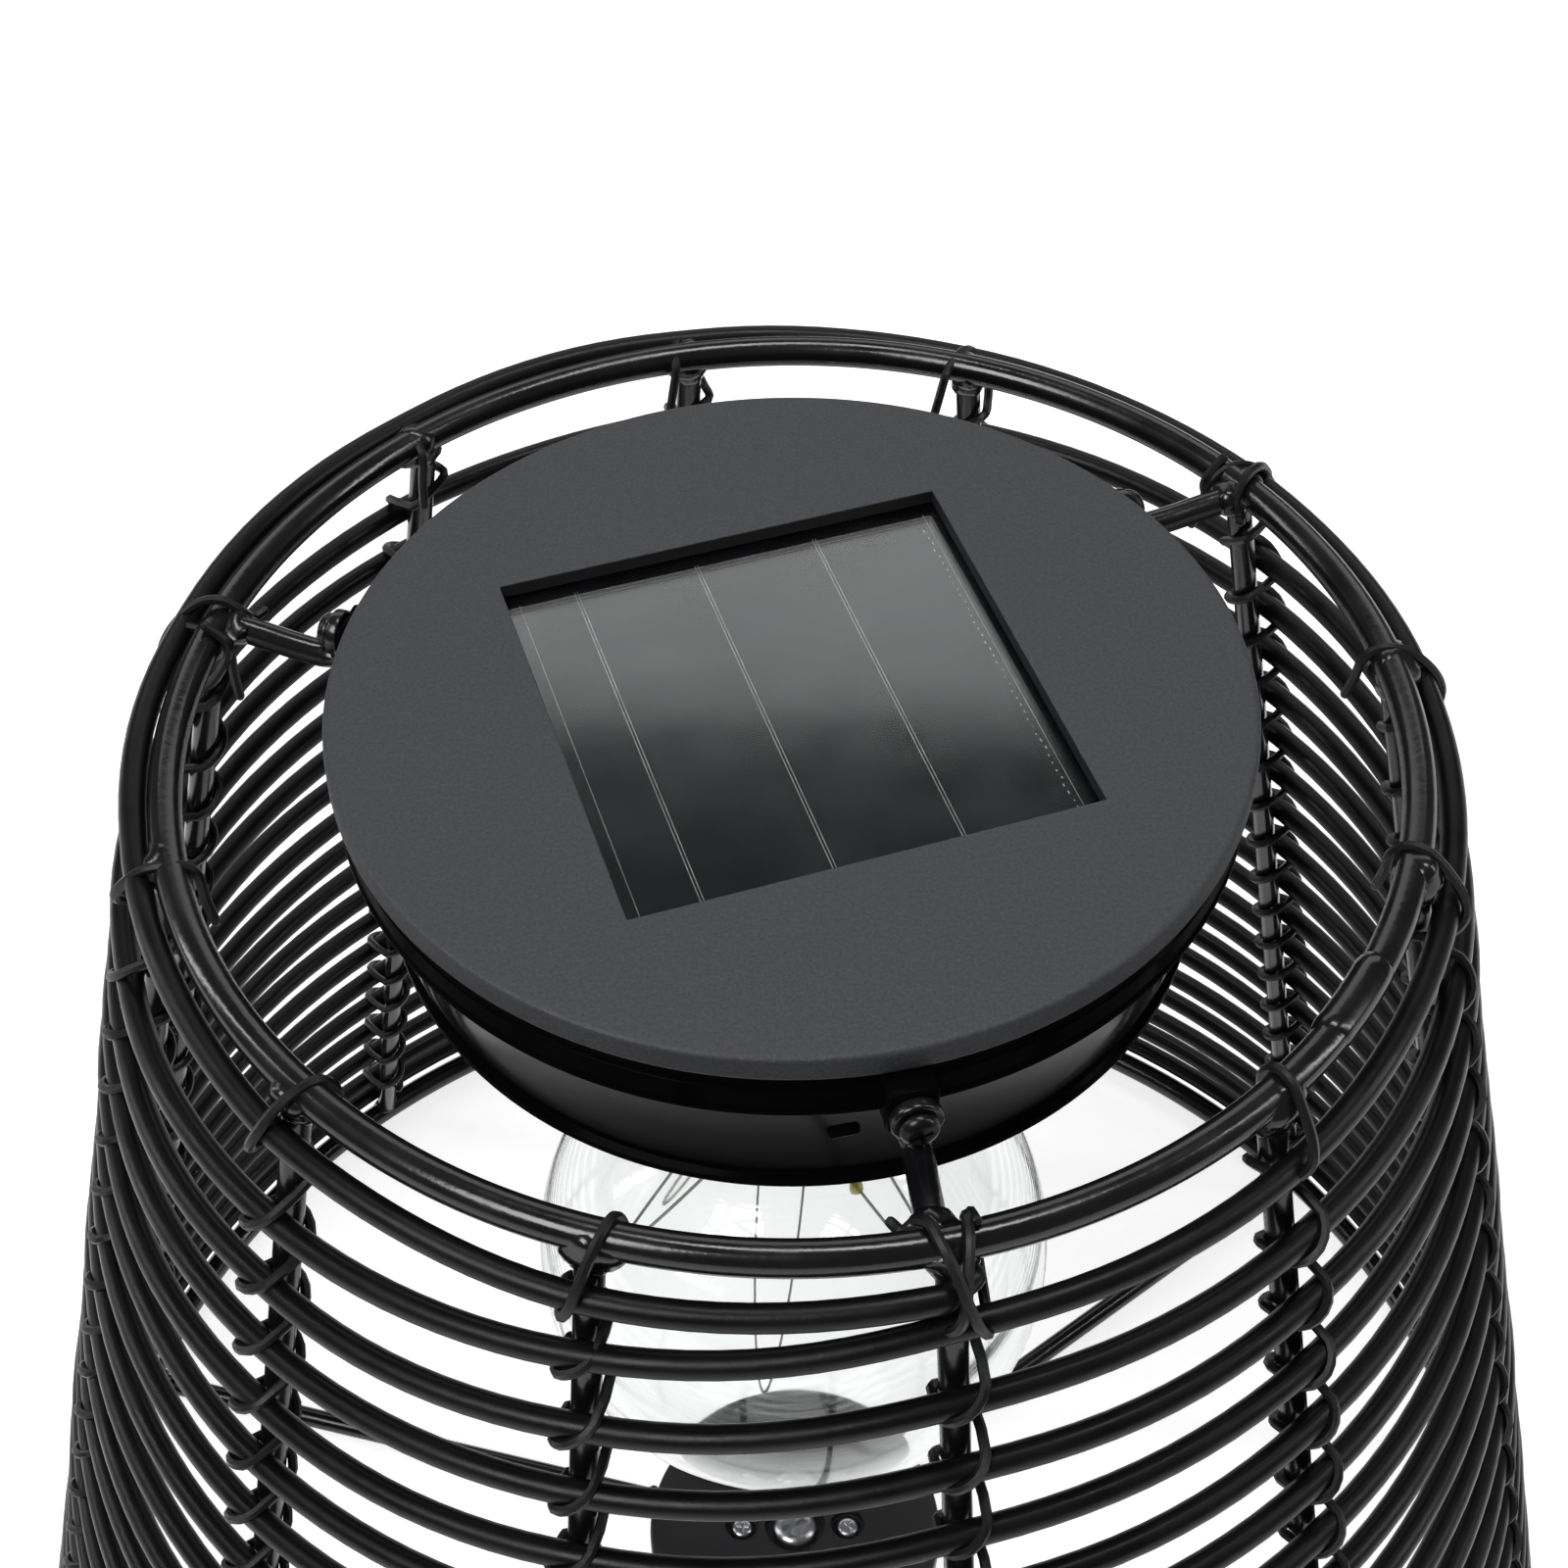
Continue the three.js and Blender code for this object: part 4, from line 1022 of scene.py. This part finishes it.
def make_camera():
    elevation, roll = math.radians(46.64), math.radians(-0.41)
    distance, target = 417.5 * MM, Vector((-1.2 * MM, 0, TOP_Z - 11.2 * MM))
    back = Vector((0, -math.cos(elevation), math.sin(elevation)))
    right = Vector((1, 0, 0))
    up = back.cross(right)
    x = math.cos(roll) * right + math.sin(roll) * up
    y = -math.sin(roll) * right + math.cos(roll) * up
    turn = Matrix((x, y, back)).transposed().to_4x4()
    data = bpy.data.cameras.new("camera")
    data.lens, data.sensor_width = 62, 36
    data.clip_start = 0.01
    camera = add_object("camera", data)
    camera.matrix_world = Matrix.Translation(target + back * distance) @ turn
    bpy.context.scene.camera = camera


def softbox(name, at, size, power):
    """A rectangular light that faces the lantern's top."""
    data = bpy.data.lights.new(name, "AREA")
    data.shape = "RECTANGLE"
    data.size, data.size_y = size
    data.energy = power
    lamp = add_object(name, data)
    lamp.location = at
    lamp.rotation_euler = (Vector((0, 0, TOP_Z)) - Vector(at)).to_track_quat("-Z", "Y").to_euler()
    lamp.visible_camera = False


def make_stage():
    scene = bpy.context.scene
    scene.view_settings.view_transform = "Standard"
    half = 4
    corners = [(-half, -half, 0), (half, -half, 0), (half, half, 0), (-half, half, 0)]
    floor = add_object("floor", raw_mesh("floor", (corners, [(0, 1, 2, 3)])))
    floor.location.z = -0.1 * MM
    paper = surface("floor paper", (0.6, 0.6, 0.6), 0.9, fade=0.01, emission_strength=0.78,
                    emission_color=(1, 1, 1, 1), specular_ior_level=0.0)
    floor.data.materials.append(paper)
    world = bpy.data.worlds.new("studio")
    scene.world = world
    world.use_nodes = True
    nodes, links = world.node_tree.nodes, world.node_tree.links
    # Full strength straight to the camera and through glass, and faint once it is mirrored or scattered.
    path = nodes.new("ShaderNodeLightPath")
    mirrored = nodes.new("ShaderNodeMath")
    mirrored.operation = "ADD"
    links.new(path.outputs["Glossy Depth"], mirrored.inputs[0])
    links.new(path.outputs["Diffuse Depth"], mirrored.inputs[1])
    seen = nodes.new("ShaderNodeMath")
    seen.operation = "LESS_THAN"
    seen.inputs[1].default_value = 0.5
    links.new(mirrored.outputs[0], seen.inputs[0])
    level = nodes.new("ShaderNodeMapRange")
    level.inputs["To Min"].default_value = 0.1
    level.inputs["To Max"].default_value = 1.0
    links.new(seen.outputs[0], level.inputs["Value"])
    links.new(level.outputs["Result"], nodes["Background"].inputs["Strength"])
    nodes["Background"].inputs["Color"].default_value = (1, 1, 1, 1)
    softbox("key", (-0.7, -0.75, 1.5), (0.7, 0.7), 17)
    softbox("right_strip", (1.25, -0.1, 1.0), (0.1, 1.2), 5)
    softbox("left_strip", (-1.3, 0.25, 0.9), (0.1, 1.2), 5)
    softbox("overhead", (0.15, 0.25, 1.9), (0.8, 0.3), 9)
    softbox("back", (0, 1.7, 1.35), (2.6, 0.9), 10)


make_camera()
make_rings()
make_ribs()
make_struts()
make_strand()
make_binding()
make_arms()
make_hub()
make_cup()
make_cap()
make_cell()
make_retainer()
make_globe()
make_leds()
make_socket()
make_board()
make_battery()
make_spring()
refinish_cad()
make_stage()
